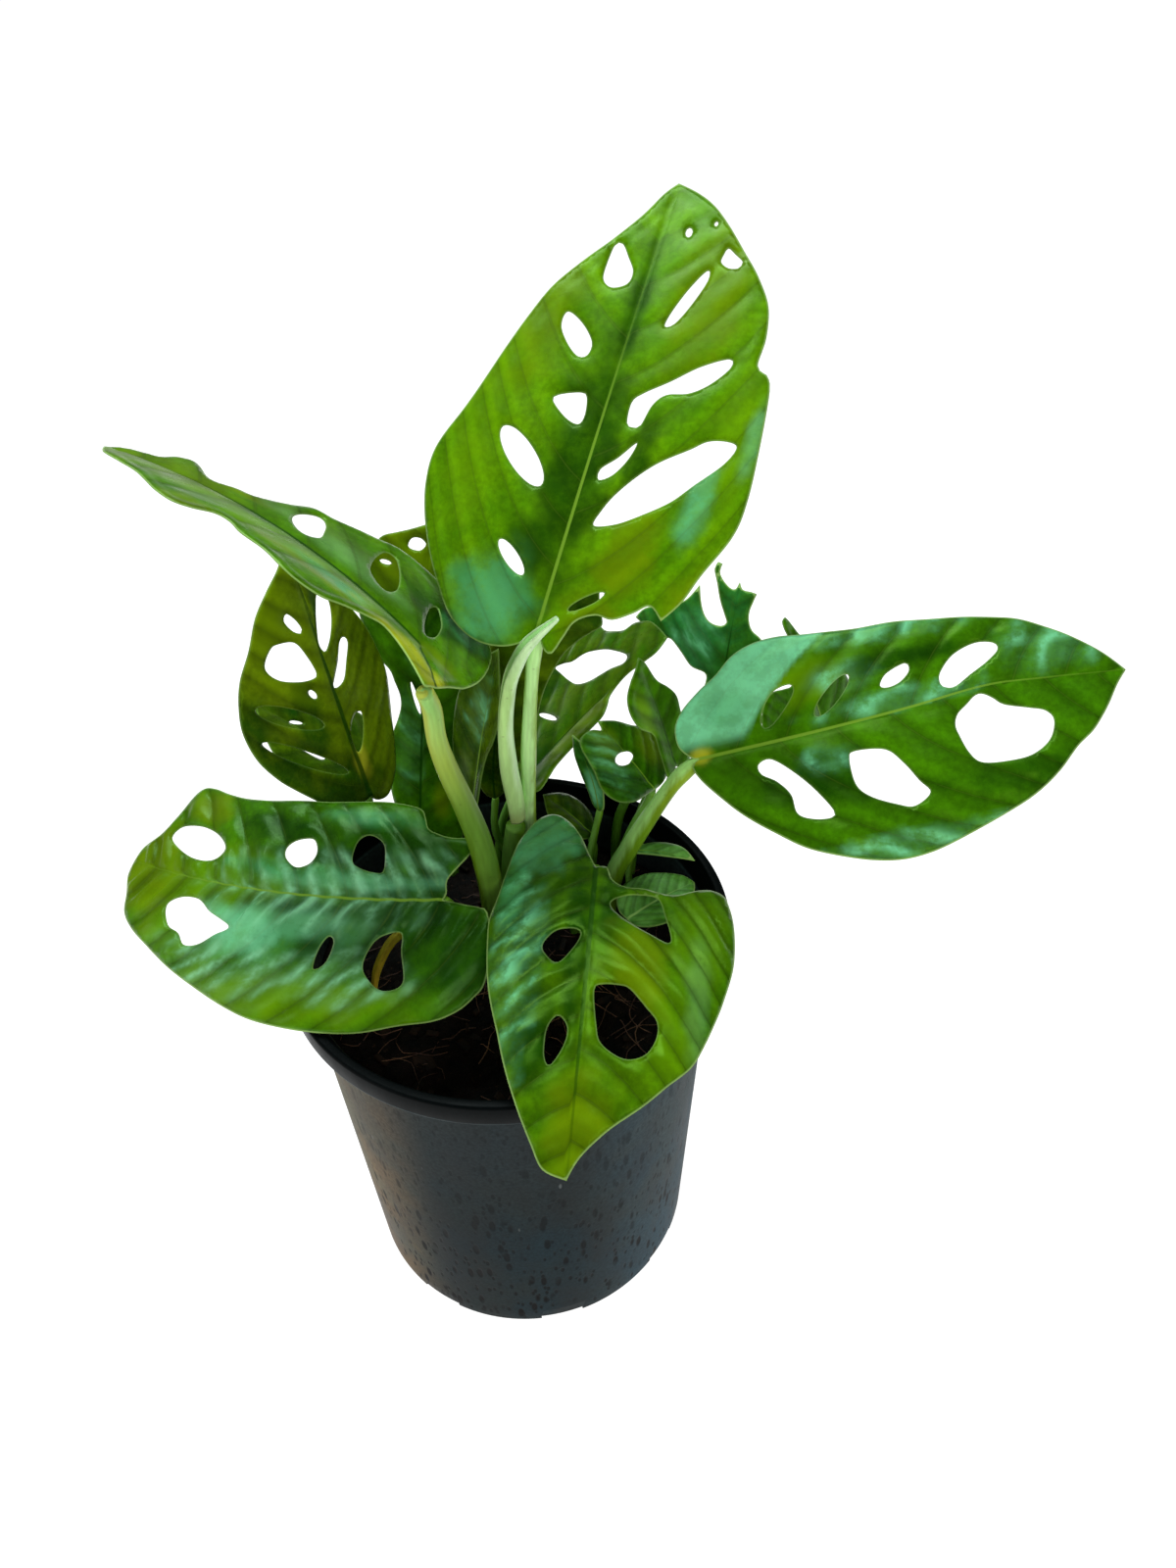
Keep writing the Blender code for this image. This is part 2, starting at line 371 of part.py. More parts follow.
# The short green stem that the crown leaf's stalk grows beside, the pale sheath leaf on its top, and one
# old yellow leaf stalk that has bent over on the soil.
STEM = dict(route=[(-1.4, 31.4, 113.0), (-1.3, 31.2, 128.0), (0.8, 29.8, 148.0), (2.7, 28.0, 161.0)],
            radii=[3.2, 3.3, 3.4, 3.2], colour=YELLOW_GREEN)
SHEATH = dict(route=[(3.0, 27.5, 164.8), (2.7, 26.0, 175.0), (1.7, 23.5, 190.0), (2.0, 21.2, 206.0),
                     (4.2, 18.5, 222.0), (6.8, 16.5, 231.0), (11.2, 14.2, 240.0), (19.3, 12.0, 249.0)],
              radii=[2.8, 3.1, 3.1, 2.6, 2.3, 2.2, 1.8, 0.6], colour=PALE_GREEN)
YELLOW_STALK = dict(route=[(-25.0, 12.0, 113.0), (-25.6, 11.4, 127.0), (-30.0, 3.0, 139.0),
                           (-36.0, -4.0, 143.0), (-41.0, -10.0, 137.0), (-43.0, -13.0, 129.5)],
                    radii=[1.7, 1.7, 1.6, 1.5, 1.3, 0.9], colour=STRAW)


def remove_everything():
    for thing in list(bpy.data.objects):
        bpy.data.objects.remove(thing, do_unlink=True)


def material(name, colour, roughness):
    made = bpy.data.materials.new(name)
    made.use_nodes = True
    shader = made.node_tree.nodes["Principled BSDF"]
    shader.inputs["Base Color"].default_value = (*colour, 1.0)
    shader.inputs["Roughness"].default_value = roughness
    return made


def new_object(name, points, faces, finish):
    """An object from points in millimetres, with every face turned outward."""
    mesh = bpy.data.meshes.new(name)
    mesh.from_pydata([Vector(point) * MM for point in points], [], faces)
    form = bmesh.new()
    form.from_mesh(mesh)
    bmesh.ops.recalc_face_normals(form, faces=form.faces)
    form.to_mesh(mesh)
    form.free()
    mesh.materials.append(finish)
    made = bpy.data.objects.new(name, mesh)
    bpy.context.scene.collection.objects.link(made)
    return made


def pair(value):
    return value if isinstance(value, tuple) else (value, value)


def turned(axes, number, angle):
    """The three axes, turned about one of them."""
    turn = Matrix.Rotation(angle, 3, axes[number])
    return [turn @ axis for axis in axes]


def midrib(leaf):
    """Points along the midrib, each with its axes: along the rib, to the left and up from the blade."""
    heading, rise, roll = (math.radians(leaf[key]) for key in ("heading", "rise", "roll"))
    along = Vector((math.cos(rise) * math.cos(heading), math.cos(rise) * math.sin(heading), math.sin(rise)))
    level = Vector((-math.sin(heading), math.cos(heading), 0.0))
    left = math.cos(roll) * level + math.sin(roll) * along.cross(level)
    axes = [along, left, along.cross(left)]
    point = Vector(leaf["base"])
    steps = [(point, axes)]
    half_bend = math.radians(leaf["bend"]) / SPINE_STEPS / 2
    half_sway = math.radians(leaf["sway"]) / SPINE_STEPS / 2
    for _ in range(SPINE_STEPS):
        axes = turned(turned(axes, 1, half_bend), 2, half_sway)
        point = point + axes[0] * leaf["length"] / SPINE_STEPS
        axes = turned(turned(axes, 1, half_bend), 2, half_sway)
        steps.append((point, axes))
    return steps


def blade_point(leaf, steps, s, t):
    """Where a point of the flat leaf lies in space, and the way up from the blade there."""
    place = min(max(s * SPINE_STEPS / leaf["length"], 0.0), SPINE_STEPS - 1e-9)
    step = int(place)
    share = place - step
    point = steps[step][0].lerp(steps[step + 1][0], share)
    along, left, up = (a.lerp(b, share).normalized() for a, b in zip(steps[step][1], steps[step + 1][1]))
    beyond = s - min(max(s, 0.0), leaf["length"])
    side = 0 if t >= 0 else 1
    fold = math.radians(pair(leaf["fold"])[side])
    rate = math.radians(pair(leaf["curl"])[side]) / (leaf["width"] / 2)
    reach = abs(t)
    across = (math.sin(fold) - math.sin(fold - rate * reach)) / rate
    lift = (math.cos(fold - rate * reach) - math.cos(fold)) / rate
    outward = left if t >= 0 else -left
    tilt = fold - rate * reach
    normal = (up * math.cos(tilt) - outward * math.sin(tilt)).normalized()
    return point + along * beyond + outward * across + up * lift, normal


def spline_weights(u):
    """How much each of four points in a row counts, a share u of the way from the second to the third."""
    return ((-u + 2 * u * u - u ** 3) / 2, (2 - 5 * u * u + 3 * u ** 3) / 2,
            (u + 4 * u * u - 3 * u ** 3) / 2, (u ** 3 - u * u) / 2)


def rounded(points, corners, step, closed=False):
    """A smooth line through the points, sharp at its ends and at each corner, sampled about a step apart."""
    count = len(points)
    spans = count if closed else count - 1
    line = []
    for k in range(spans):
        start, end = points[k], points[(k + 1) % count]
        before = points[k - 1] if closed or k > 0 else start
        after = points[(k + 2) % count] if closed or k < spans - 1 else end
        before = start if start in corners else before
        after = end if end in corners else after
        parts = max(1, round(math.dist(start, end) / step))
        for part in range(parts):
            weights = spline_weights(part / parts)
            line.append(tuple(sum(w * p[axis] for w, p in zip(weights, (before, start, end, after)))
                              for axis in (0, 1)))
    return line if closed else line + [points[-1]]


def seat_of(leaf):
    """Where on the flat leaf its stalk meets it."""
    return leaf.get("seat", (0.0, 0.0))


def leaf_loops(leaf):
    """The flat leaf's outline and its holes, as closed lines."""
    sinus, tip = seat_of(leaf), (leaf["length"], 0.0)
    corners = leaf.get("corners", [])
    near = rounded([sinus] + leaf["left"] + [tip], corners, OUTLINE_STEP)
    far = rounded([sinus] + leaf["right"] + [tip], corners, OUTLINE_STEP)
    outline = near + far[-2:0:-1]
    return [outline] + [rounded(hole, [], HOLE_STEP, closed=True) for hole in leaf["holes"]]


def inside(point, loop):
    """Whether a flat point lies inside a closed line."""
    x, y = point
    crossed = False
    for (x1, y1), (x2, y2) in zip(loop, loop[1:] + loop[:1]):
        if (y1 > y) != (y2 > y) and x < x1 + (y - y1) * (x2 - x1) / (y2 - y1):
            crossed = not crossed
    return crossed


def distance_to(point, loop):
    """The shortest way from a flat point to a closed line."""
    best = math.inf
    for a, b in zip(loop, loop[1:] + loop[:1]):
        run = (b[0] - a[0], b[1] - a[1])
        share = (point[0] - a[0]) * run[0] + (point[1] - a[1]) * run[1]
        share = min(max(share / (run[0] ** 2 + run[1] ** 2), 0.0), 1.0)
        best = min(best, math.dist(point, (a[0] + share * run[0], a[1] + share * run[1])))
    return best


def filling(loops, step, margin, spread):
    """Points of a staggered grid that lie inside the first loop and outside the others."""
    low_s, high_s, low_t, high_t = spread
    points = []
    rows = int((high_t - low_t) / step) + 1
    for row in range(-rows, rows + 1):
        t = row * step * math.sqrt(3) / 2
        for column in range(int((high_s - low_s) / step) + 2):
            point = (low_s + (column + 0.5 * (row % 2)) * step, t)
            if not (low_t < t < high_t and inside(point, loops[0])):
                continue
            if any(inside(point, hole) for hole in loops[1:]):
                continue
            if min(distance_to(point, loop) for loop in loops) > margin:
                points.append(point)
    return points


def triangulated(loops, extra):
    """Triangles that fill the first loop without the others, as points and faces."""
    points = []
    edges = []
    for loop in loops:
        first = len(points)
        points += loop
        edges += [(first + k, first + (k + 1) % len(loop)) for k in range(len(loop))]
    points += extra
    flat, _, faces, _, _, _ = delaunay_2d_cdt([Vector(p) for p in points], edges, [], 0, 1e-5)
    flat = [tuple(p) for p in flat]
    kept = []
    for face in faces:
        middle = tuple(sum(flat[k][axis] for k in face) / 3 for axis in (0, 1))
        if inside(middle, loops[0]) and not any(inside(middle, hole) for hole in loops[1:]):
            kept.append(tuple(face))
    return flat, kept


def border_edges(faces):
    """The edges that only one triangle has, in that triangle's direction."""
    seen = {(face[k], face[(k + 1) % 3]) for face in faces for k in range(3)}
    return [edge for edge in sorted(seen) if (edge[1], edge[0]) not in seen]


def sheet_solid(upper, lower, faces):
    """A thin closed solid from one set of triangles, alike on both faces."""
    shift = len(upper)
    solid = [face for face in faces]
    solid += [tuple(k + shift for k in reversed(face)) for face in faces]
    for a, b in border_edges(faces):
        solid += [(b, a, a + shift), (b, a + shift, b + shift)]
    return upper + lower, solid


def make_leaf(name, leaf):
    loops = leaf_loops(leaf)
    spread = (min(p[0] for p in loops[0]), max(p[0] for p in loops[0]),
              min(p[1] for p in loops[0]), max(p[1] for p in loops[0]))
    rib = [(s, 0.0) for s in range(RIB_STEP, int(leaf["length"]) - RIB_END, RIB_STEP)]
    rib = [p for p in rib if inside(p, loops[0]) and min(distance_to(p, loop) for loop in loops) > RIB_MARGIN]
    grid = filling(loops, GRID_STEP, GRID_MARGIN, spread)
    grid = [p for p in grid if abs(p[1]) > GRID_STEP / 2]
    flat, faces = triangulated(loops, rib + grid)
    steps = midrib(leaf)
    placed = [blade_point(leaf, steps, *p) for p in flat]
    half = BLADE_THICKNESS / 2
    upper = [point + normal * half for point, normal in placed]
    lower = [point - normal * half for point, normal in placed]
    points, solid = sheet_solid(upper, lower, faces)
    finish = material("leaf_" + name, leaf["colour"], 0.32)
    return new_object("leaf_" + name, points, solid, finish)


def seat_under(leaf, stalk):
    """Where a stalk's top comes to lie just under its blade."""
    point, up = blade_point(leaf, midrib(leaf), *seat_of(leaf))
    arriving = point - Vector(stalk["route"][-1])
    slant = abs(arriving.normalized().dot(up))
    reach = stalk["radii"][-1] * math.sqrt(max(0.0, 1 - slant * slant))
    return point - up * (BLADE_THICKNESS / 2 + SEAT_GAP + reach)


def smooth_route(route, radii):
    """A route of points with a radius at each, rounded and sampled about a stalk step apart."""
    line = []
    for k in range(len(route) - 1):
        before = route[max(k - 1, 0)]
        start, end = route[k], route[k + 1]
        after = route[min(k + 2, len(route) - 1)]
        parts = max(1, round(math.dist(start, end) / STALK_STEP))
        for part in range(parts):
            u = part / parts
            around = (before, start, end, after)
            point = sum((Vector(p) * w for w, p in zip(spline_weights(u), around)), Vector())
            line.append((point, radii[k] * (1 - u) + radii[k + 1] * u))
    return line + [(Vector(route[-1]), radii[-1])]


def make_stalk(name, route, radii, colour):
    """A round stalk along a route, with rings that stand square to it and flat ends."""
    line = smooth_route(route, radii)
    points, faces = [], []
    across = None
    for k, (point, radius) in enumerate(line):
        ahead = line[min(k + 1, len(line) - 1)][0] - line[max(k - 1, 0)][0]
        ahead.normalize()
        if across is None:
            across = ahead.orthogonal().normalized()
        across = (across - ahead * across.dot(ahead)).normalized()
        other = ahead.cross(across)
        for side in range(STALK_SIDES):
            angle = 2 * math.pi * side / STALK_SIDES
            points.append(point + (across * math.cos(angle) + other * math.sin(angle)) * radius)
    rings = len(line)
    for ring in range(rings - 1):
        for side in range(STALK_SIDES):
            a = ring * STALK_SIDES + side
            b = ring * STALK_SIDES + (side + 1) % STALK_SIDES
            faces += [(a, b, b + STALK_SIDES), (a, b + STALK_SIDES, a + STALK_SIDES)]
    last = (rings - 1) * STALK_SIDES
    for side in range(1, STALK_SIDES - 1):
        faces.append((0, side + 1, side))
        faces.append((last, last + side, last + side + 1))
    return new_object(name, points, faces, material(name, colour, 0.4))


def make_leaf_stalk(name, stalk, leaf):
    seat = seat_under(leaf, stalk)
    return make_stalk("petiole_" + name, stalk["route"] + [tuple(seat)], stalk["radii"], stalk["colour"])


def turned_solid(name, profile, sides, finish):
    """A solid turned about the Z axis from a closed profile of radius and height."""
    points, faces = [], []
    for side in range(sides):
        angle = 2 * math.pi * side / sides
        points += [(r * math.cos(angle), r * math.sin(angle), z) for r, z in profile if r > 0]
    ring = len([r for r, _ in profile if r > 0])
    on_axis = [z for r, z in profile if r == 0]
    first_axis = len(points)
    points += [(0.0, 0.0, z) for z in on_axis]
    for side in range(sides):
        near, far = side * ring, (side + 1) % sides * ring
        for k in range(ring - 1):
            faces.append((near + k, far + k, far + k + 1, near + k + 1))
        faces.append((first_axis, far, near))
        faces.append((first_axis + 1, near + ring - 1, far + ring - 1))
    return new_object(name, points, faces, finish)


def pot_profile():
    """From the middle of the base out, up the wall, over the lip and down the inside."""
    lip_low = POT_HEIGHT - LIP_HEIGHT
    return [(0, 0), (BASE_RADIUS - BASE_CORNER, 0), (BASE_RADIUS - 0.5, 0.6), (BASE_RADIUS, BASE_CORNER),
            (WALL_TOP_RADIUS, lip_low), (RIM_RADIUS - 0.5, lip_low), (RIM_RADIUS, lip_low + 0.6),
            (RIM_RADIUS, POT_HEIGHT - 0.8), (RIM_RADIUS - 0.7, POT_HEIGHT),
            (RIM_RADIUS - LIP_WALL + 0.6, POT_HEIGHT), (RIM_RADIUS - LIP_WALL, POT_HEIGHT - 0.6),
            (WALL_TOP_RADIUS - WALL, lip_low - LIP_BLEND), (BASE_RADIUS - WALL, WALL), (0, WALL)]


def inner_radius(z):
    """The pot's inside radius at a height."""
    low, high = BASE_RADIUS - WALL, WALL_TOP_RADIUS - WALL
    return low + (high - low) * (z - WALL) / (POT_HEIGHT - LIP_HEIGHT - LIP_BLEND - WALL)


def make_pot():
    pot = turned_solid("pot", pot_profile(), POT_SIDES, material("pot", POT_BLACK, 0.42))
    points, faces = [], []
    for k in range(SLOT_COUNT):
        turn = Matrix.Rotation(math.radians(SLOT_TURN) + 2 * math.pi * k / SLOT_COUNT, 3, "Z")
        first = len(points)
        for x in (BASE_RADIUS - SLOT_DEPTH, BASE_RADIUS + 2.0):
            for y in (-SLOT_WIDTH / 2, SLOT_WIDTH / 2):
                for z in (-1.0, SLOT_HEIGHT):
                    points.append(turn @ Vector((x, y, z)))
        faces += [tuple(first + n for n in corner) for corner in
                  ((0, 1, 3, 2), (4, 6, 7, 5), (0, 4, 5, 1), (2, 3, 7, 6), (0, 2, 6, 4), (1, 5, 7, 3))]
    cutter = new_object("slots", points, faces, pot.data.materials[0])
    cut = pot.modifiers.new("slots", "BOOLEAN")
    cut.operation = "DIFFERENCE"
    cut.solver = "EXACT"
    cut.object = cutter
    shaped = bpy.data.meshes.new_from_object(pot.evaluated_get(bpy.context.evaluated_depsgraph_get()))
    pot.modifiers.remove(cut)
    pot.data = shaped
    bpy.data.objects.remove(cutter, do_unlink=True)
    return pot


def soil_height(x, y):
    """The soil's uneven surface."""
    return SOIL_LEVEL + SOIL_SWELL * (math.sin(x / 13 + 0.7) * math.cos(y / 11) + 0.4 * math.sin((x - y) / 7))


def make_soil(sockets):
    """Soil as one solid, with a plain round hole for each (x, y, radius)."""
    rim = inner_radius(SOIL_LEVEL) - SOIL_GAP
    foot = inner_radius(WALL + SOIL_GAP) - SOIL_GAP
    sides = POT_SIDES // 2
    around = [(math.cos(2 * math.pi * k / sides), math.sin(2 * math.pi * k / sides)) for k in range(sides)]
    loops = [[(rim * c, rim * s) for c, s in around]]
    for x, y, radius in sockets:
        turns = [2 * math.pi * k / SOCKET_SIDES for k in range(SOCKET_SIDES)]
        loops.append([(x + radius * math.cos(a), y + radius * math.sin(a)) for a in turns])
    extra = filling(loops, SOIL_STEP, SOIL_STEP * 0.35, (-rim, rim, -rim, rim))
    flat, faces = triangulated(loops, extra)
    points = [(x, y, soil_height(x, y)) for x, y in flat]
    solid = list(faces)
    low = len(points)
    points += [(foot * c, foot * s, WALL + SOIL_GAP) for c, s in around] + [(0.0, 0.0, WALL + SOIL_GAP)]
    for k in range(sides):
        after = (k + 1) % sides
        solid += [(k, low + k, low + after), (k, low + after, after), (low + sides, low + after, low + k)]
    first = sides
    for x, y, radius in sockets:
        floor = len(points)
        points += [(*flat[first + k], SOIL_LEVEL - SOCKET_DEPTH - SEAT_GAP) for k in range(SOCKET_SIDES)]
        for k in range(SOCKET_SIDES):
            after = (k + 1) % SOCKET_SIDES
            solid += [(first + k, floor + k, floor + after), (first + k, floor + after, first + after)]
        solid += [(floor, floor + k, floor + k + 1) for k in range(1, SOCKET_SIDES - 1)]
        first += SOCKET_SIDES
    return new_object("soil", points, solid, material("soil", SOIL_BROWN, 0.95))


def socket_for(route, radii):
    """The soil hole of a stalk that stands upright below the surface."""
    return route[0][0] / 2 + route[1][0] / 2, route[0][1] / 2 + route[1][1] / 2, max(radii[:2]) + SOCKET_ROOM


def build():
    remove_everything()
    standing = [*STALKS.values(), STEM, YELLOW_STALK]
    make_pot()
    make_soil([socket_for(stalk["route"], stalk["radii"]) for stalk in standing])
    make_stalk("stem", STEM["route"], STEM["radii"], STEM["colour"])
    make_stalk("sheath_leaf", SHEATH["route"], SHEATH["radii"], SHEATH["colour"])
    make_stalk("yellow_stalk", YELLOW_STALK["route"], YELLOW_STALK["radii"], YELLOW_STALK["colour"])
    for name, leaf in LEAVES.items():
        make_leaf(name, leaf)
        make_leaf_stalk(name, STALKS[name], leaf)


build()
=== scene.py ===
# Looks of the potted monkey mask monstera: fine leaves, stalks, soil, pot, light and camera around the
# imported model. Lengths are in millimetres and MM turns them into metres. The leaves and stalks are laid out
# as in the CAD source.

import math

import bpy
import numpy as np
from mathutils import Matrix, Vector
from mathutils.geometry import delaunay_2d_cdt


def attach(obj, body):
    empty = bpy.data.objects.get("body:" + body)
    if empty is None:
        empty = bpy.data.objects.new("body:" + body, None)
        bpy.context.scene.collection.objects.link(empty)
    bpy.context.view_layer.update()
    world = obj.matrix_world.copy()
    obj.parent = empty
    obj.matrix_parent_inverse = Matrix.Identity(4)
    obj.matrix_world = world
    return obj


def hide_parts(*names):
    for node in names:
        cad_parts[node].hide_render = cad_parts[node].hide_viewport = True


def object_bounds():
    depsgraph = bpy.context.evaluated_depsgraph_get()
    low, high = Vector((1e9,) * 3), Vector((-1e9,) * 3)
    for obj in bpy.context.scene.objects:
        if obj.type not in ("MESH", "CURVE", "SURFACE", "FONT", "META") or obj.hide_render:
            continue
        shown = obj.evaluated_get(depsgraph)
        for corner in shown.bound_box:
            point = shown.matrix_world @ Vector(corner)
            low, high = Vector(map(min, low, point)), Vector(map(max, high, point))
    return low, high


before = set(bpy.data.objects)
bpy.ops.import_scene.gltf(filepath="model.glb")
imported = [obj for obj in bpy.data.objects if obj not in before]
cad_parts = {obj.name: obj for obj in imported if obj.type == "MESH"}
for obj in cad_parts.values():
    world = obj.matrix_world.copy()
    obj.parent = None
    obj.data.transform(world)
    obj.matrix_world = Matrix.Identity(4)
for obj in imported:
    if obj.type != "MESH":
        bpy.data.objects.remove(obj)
cad_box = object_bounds()

MM = 0.001

# Pot and soil, as in the CAD source.
POT_HEIGHT = 146.7
RIM_RADIUS = 70.0
LIP_HEIGHT = 7.8
LIP_BLEND = 3.0
LIP_LOW = POT_HEIGHT - LIP_HEIGHT
WALL_TOP_RADIUS = 64.6
BASE_RADIUS = 58.2
BASE_CORNER = 2.0
WALL = 1.5
LIP_WALL = 3.2
SLOT_COUNT = 8
SLOT_WIDTH = 15.0
SLOT_HEIGHT = 3.2
SLOT_DEPTH = 7.0
SLOT_TURN = 12.0
POT_SIDES = 192
SOIL_LEVEL = 125.0
SOIL_SWELL = 1.3
SOIL_STEP = 1.6
SOIL_GAP = 0.3

# Bark chips and coir fibres on the soil. Insets are from the pot's wall, a chip's sizes are half sizes, and
# each pair is the least and the most.
CHIP_COUNT = 150
CHIP_INSET = 6.0
CHIP_SIZES = ((1.2, 3.8), (0.8, 2.2), (0.4, 1.0))
CHIP_LIFT = 0.6
CHIP_BEVEL = 0.3
FIBRE_COUNT = 130
FIBRE_INSET = 3.0
FIBRE_LIFT = 0.9
FIBRE_SIDES = 5
FIBRE_STEP = 2.0
FIBRE_LENGTHS = (6, 26)
FIBRE_RADII = (0.08, 0.20)
FIBRE_KNOTS = 5

# Leaf blades. The margin vein is a faint groove that runs along inside the margin. Side veins are counted
# from before the base to beyond the tip, so that every point lies between two.
SPINE_STEPS = 24
OUTLINE_STEP = 1.1
HOLE_STEP = 0.9
GRID_STEP = 1.35
GRID_MARGIN = 0.6
EDGE_HALF = 0.12
BLADE_HALF = 0.28
RIB_DROP = 0.55
GROOVE_DEPTH = 0.45
MARGIN_VEIN_DEPTH = 0.18
MARGIN_VEIN_PLACE = 3.6
EDGE_DROOP = 0.25
VEINS_BEFORE = 70
VEINS_BEYOND = 20
PANEL_TONES = 200

# Stalks and the rolled sheath leaf. A stalk's top lies a seat drop below the middle of its blade.
STALK_SIDES = 20
STALK_STEP = 1.6
SEAT_DROP = 0.5
SHEATH_STEP = 1.2
SHEATH_COLUMNS = 25
SHEATH_SPREAD = math.radians(260)
SHEATH_TURN = math.radians(200)
SHEATH_HALF = 0.22

# A cube's corners and faces.
CUBE_CORNERS = np.array([(-1, -1, -1), (1, -1, -1), (1, 1, -1), (-1, 1, -1),
                         (-1, -1, 1), (1, -1, 1), (1, 1, 1), (-1, 1, 1)])
CUBE_FACES = ((0, 3, 2, 1), (4, 5, 6, 7), (0, 1, 5, 4), (1, 2, 6, 5), (2, 3, 7, 6), (3, 0, 4, 7))

# Soft square studio lights: place and size in metres, power in watts, and colour.
LIGHTS = {
    "sky_window": ((-0.12, 0.40, 1.15), 0.55, 10.0, (0.84, 0.98, 1.0)),
    "front_fill": ((0.55, -1.1, 0.85), 0.8, 7.0, (1.0, 0.98, 0.93)),
    "left_fill": ((-1.2, -0.5, 0.7), 0.7, 4.0, (1.0, 0.95, 0.88)),
}
LIGHT_AIM = (0.02, 0.0, 0.17)
WORLD_COLOUR = (0.90, 0.96, 1.0, 1.0)
WORLD_STRENGTH = 0.16
FLOOR_HALF = 6.0

# The photograph's viewpoint, in metres and degrees.
CAMERA_PLACE = (0.0264, -0.2558, 0.4174)
CAMERA_DROP = 40.2
CAMERA_ROLL = -1.6
CAMERA_LENS = 27.0
CAMERA_SENSOR = 36.0


def circle(sides):
    """Angles evenly spaced once around."""
    return 2 * math.pi * np.arange(sides) / sides


def oval(start, end, width, sides=10):
    """A hole shaped as an ellipse whose long axis runs from start to end."""
    middle = Vector((start[0] + end[0], start[1] + end[1])) / 2
    along = Vector((end[0] - start[0], end[1] - start[1])) / 2
    across = Vector((-along.y, along.x)).normalized() * width / 2
    return [tuple(middle + along * math.cos(a) + across * math.sin(a)) for a in circle(sides)]


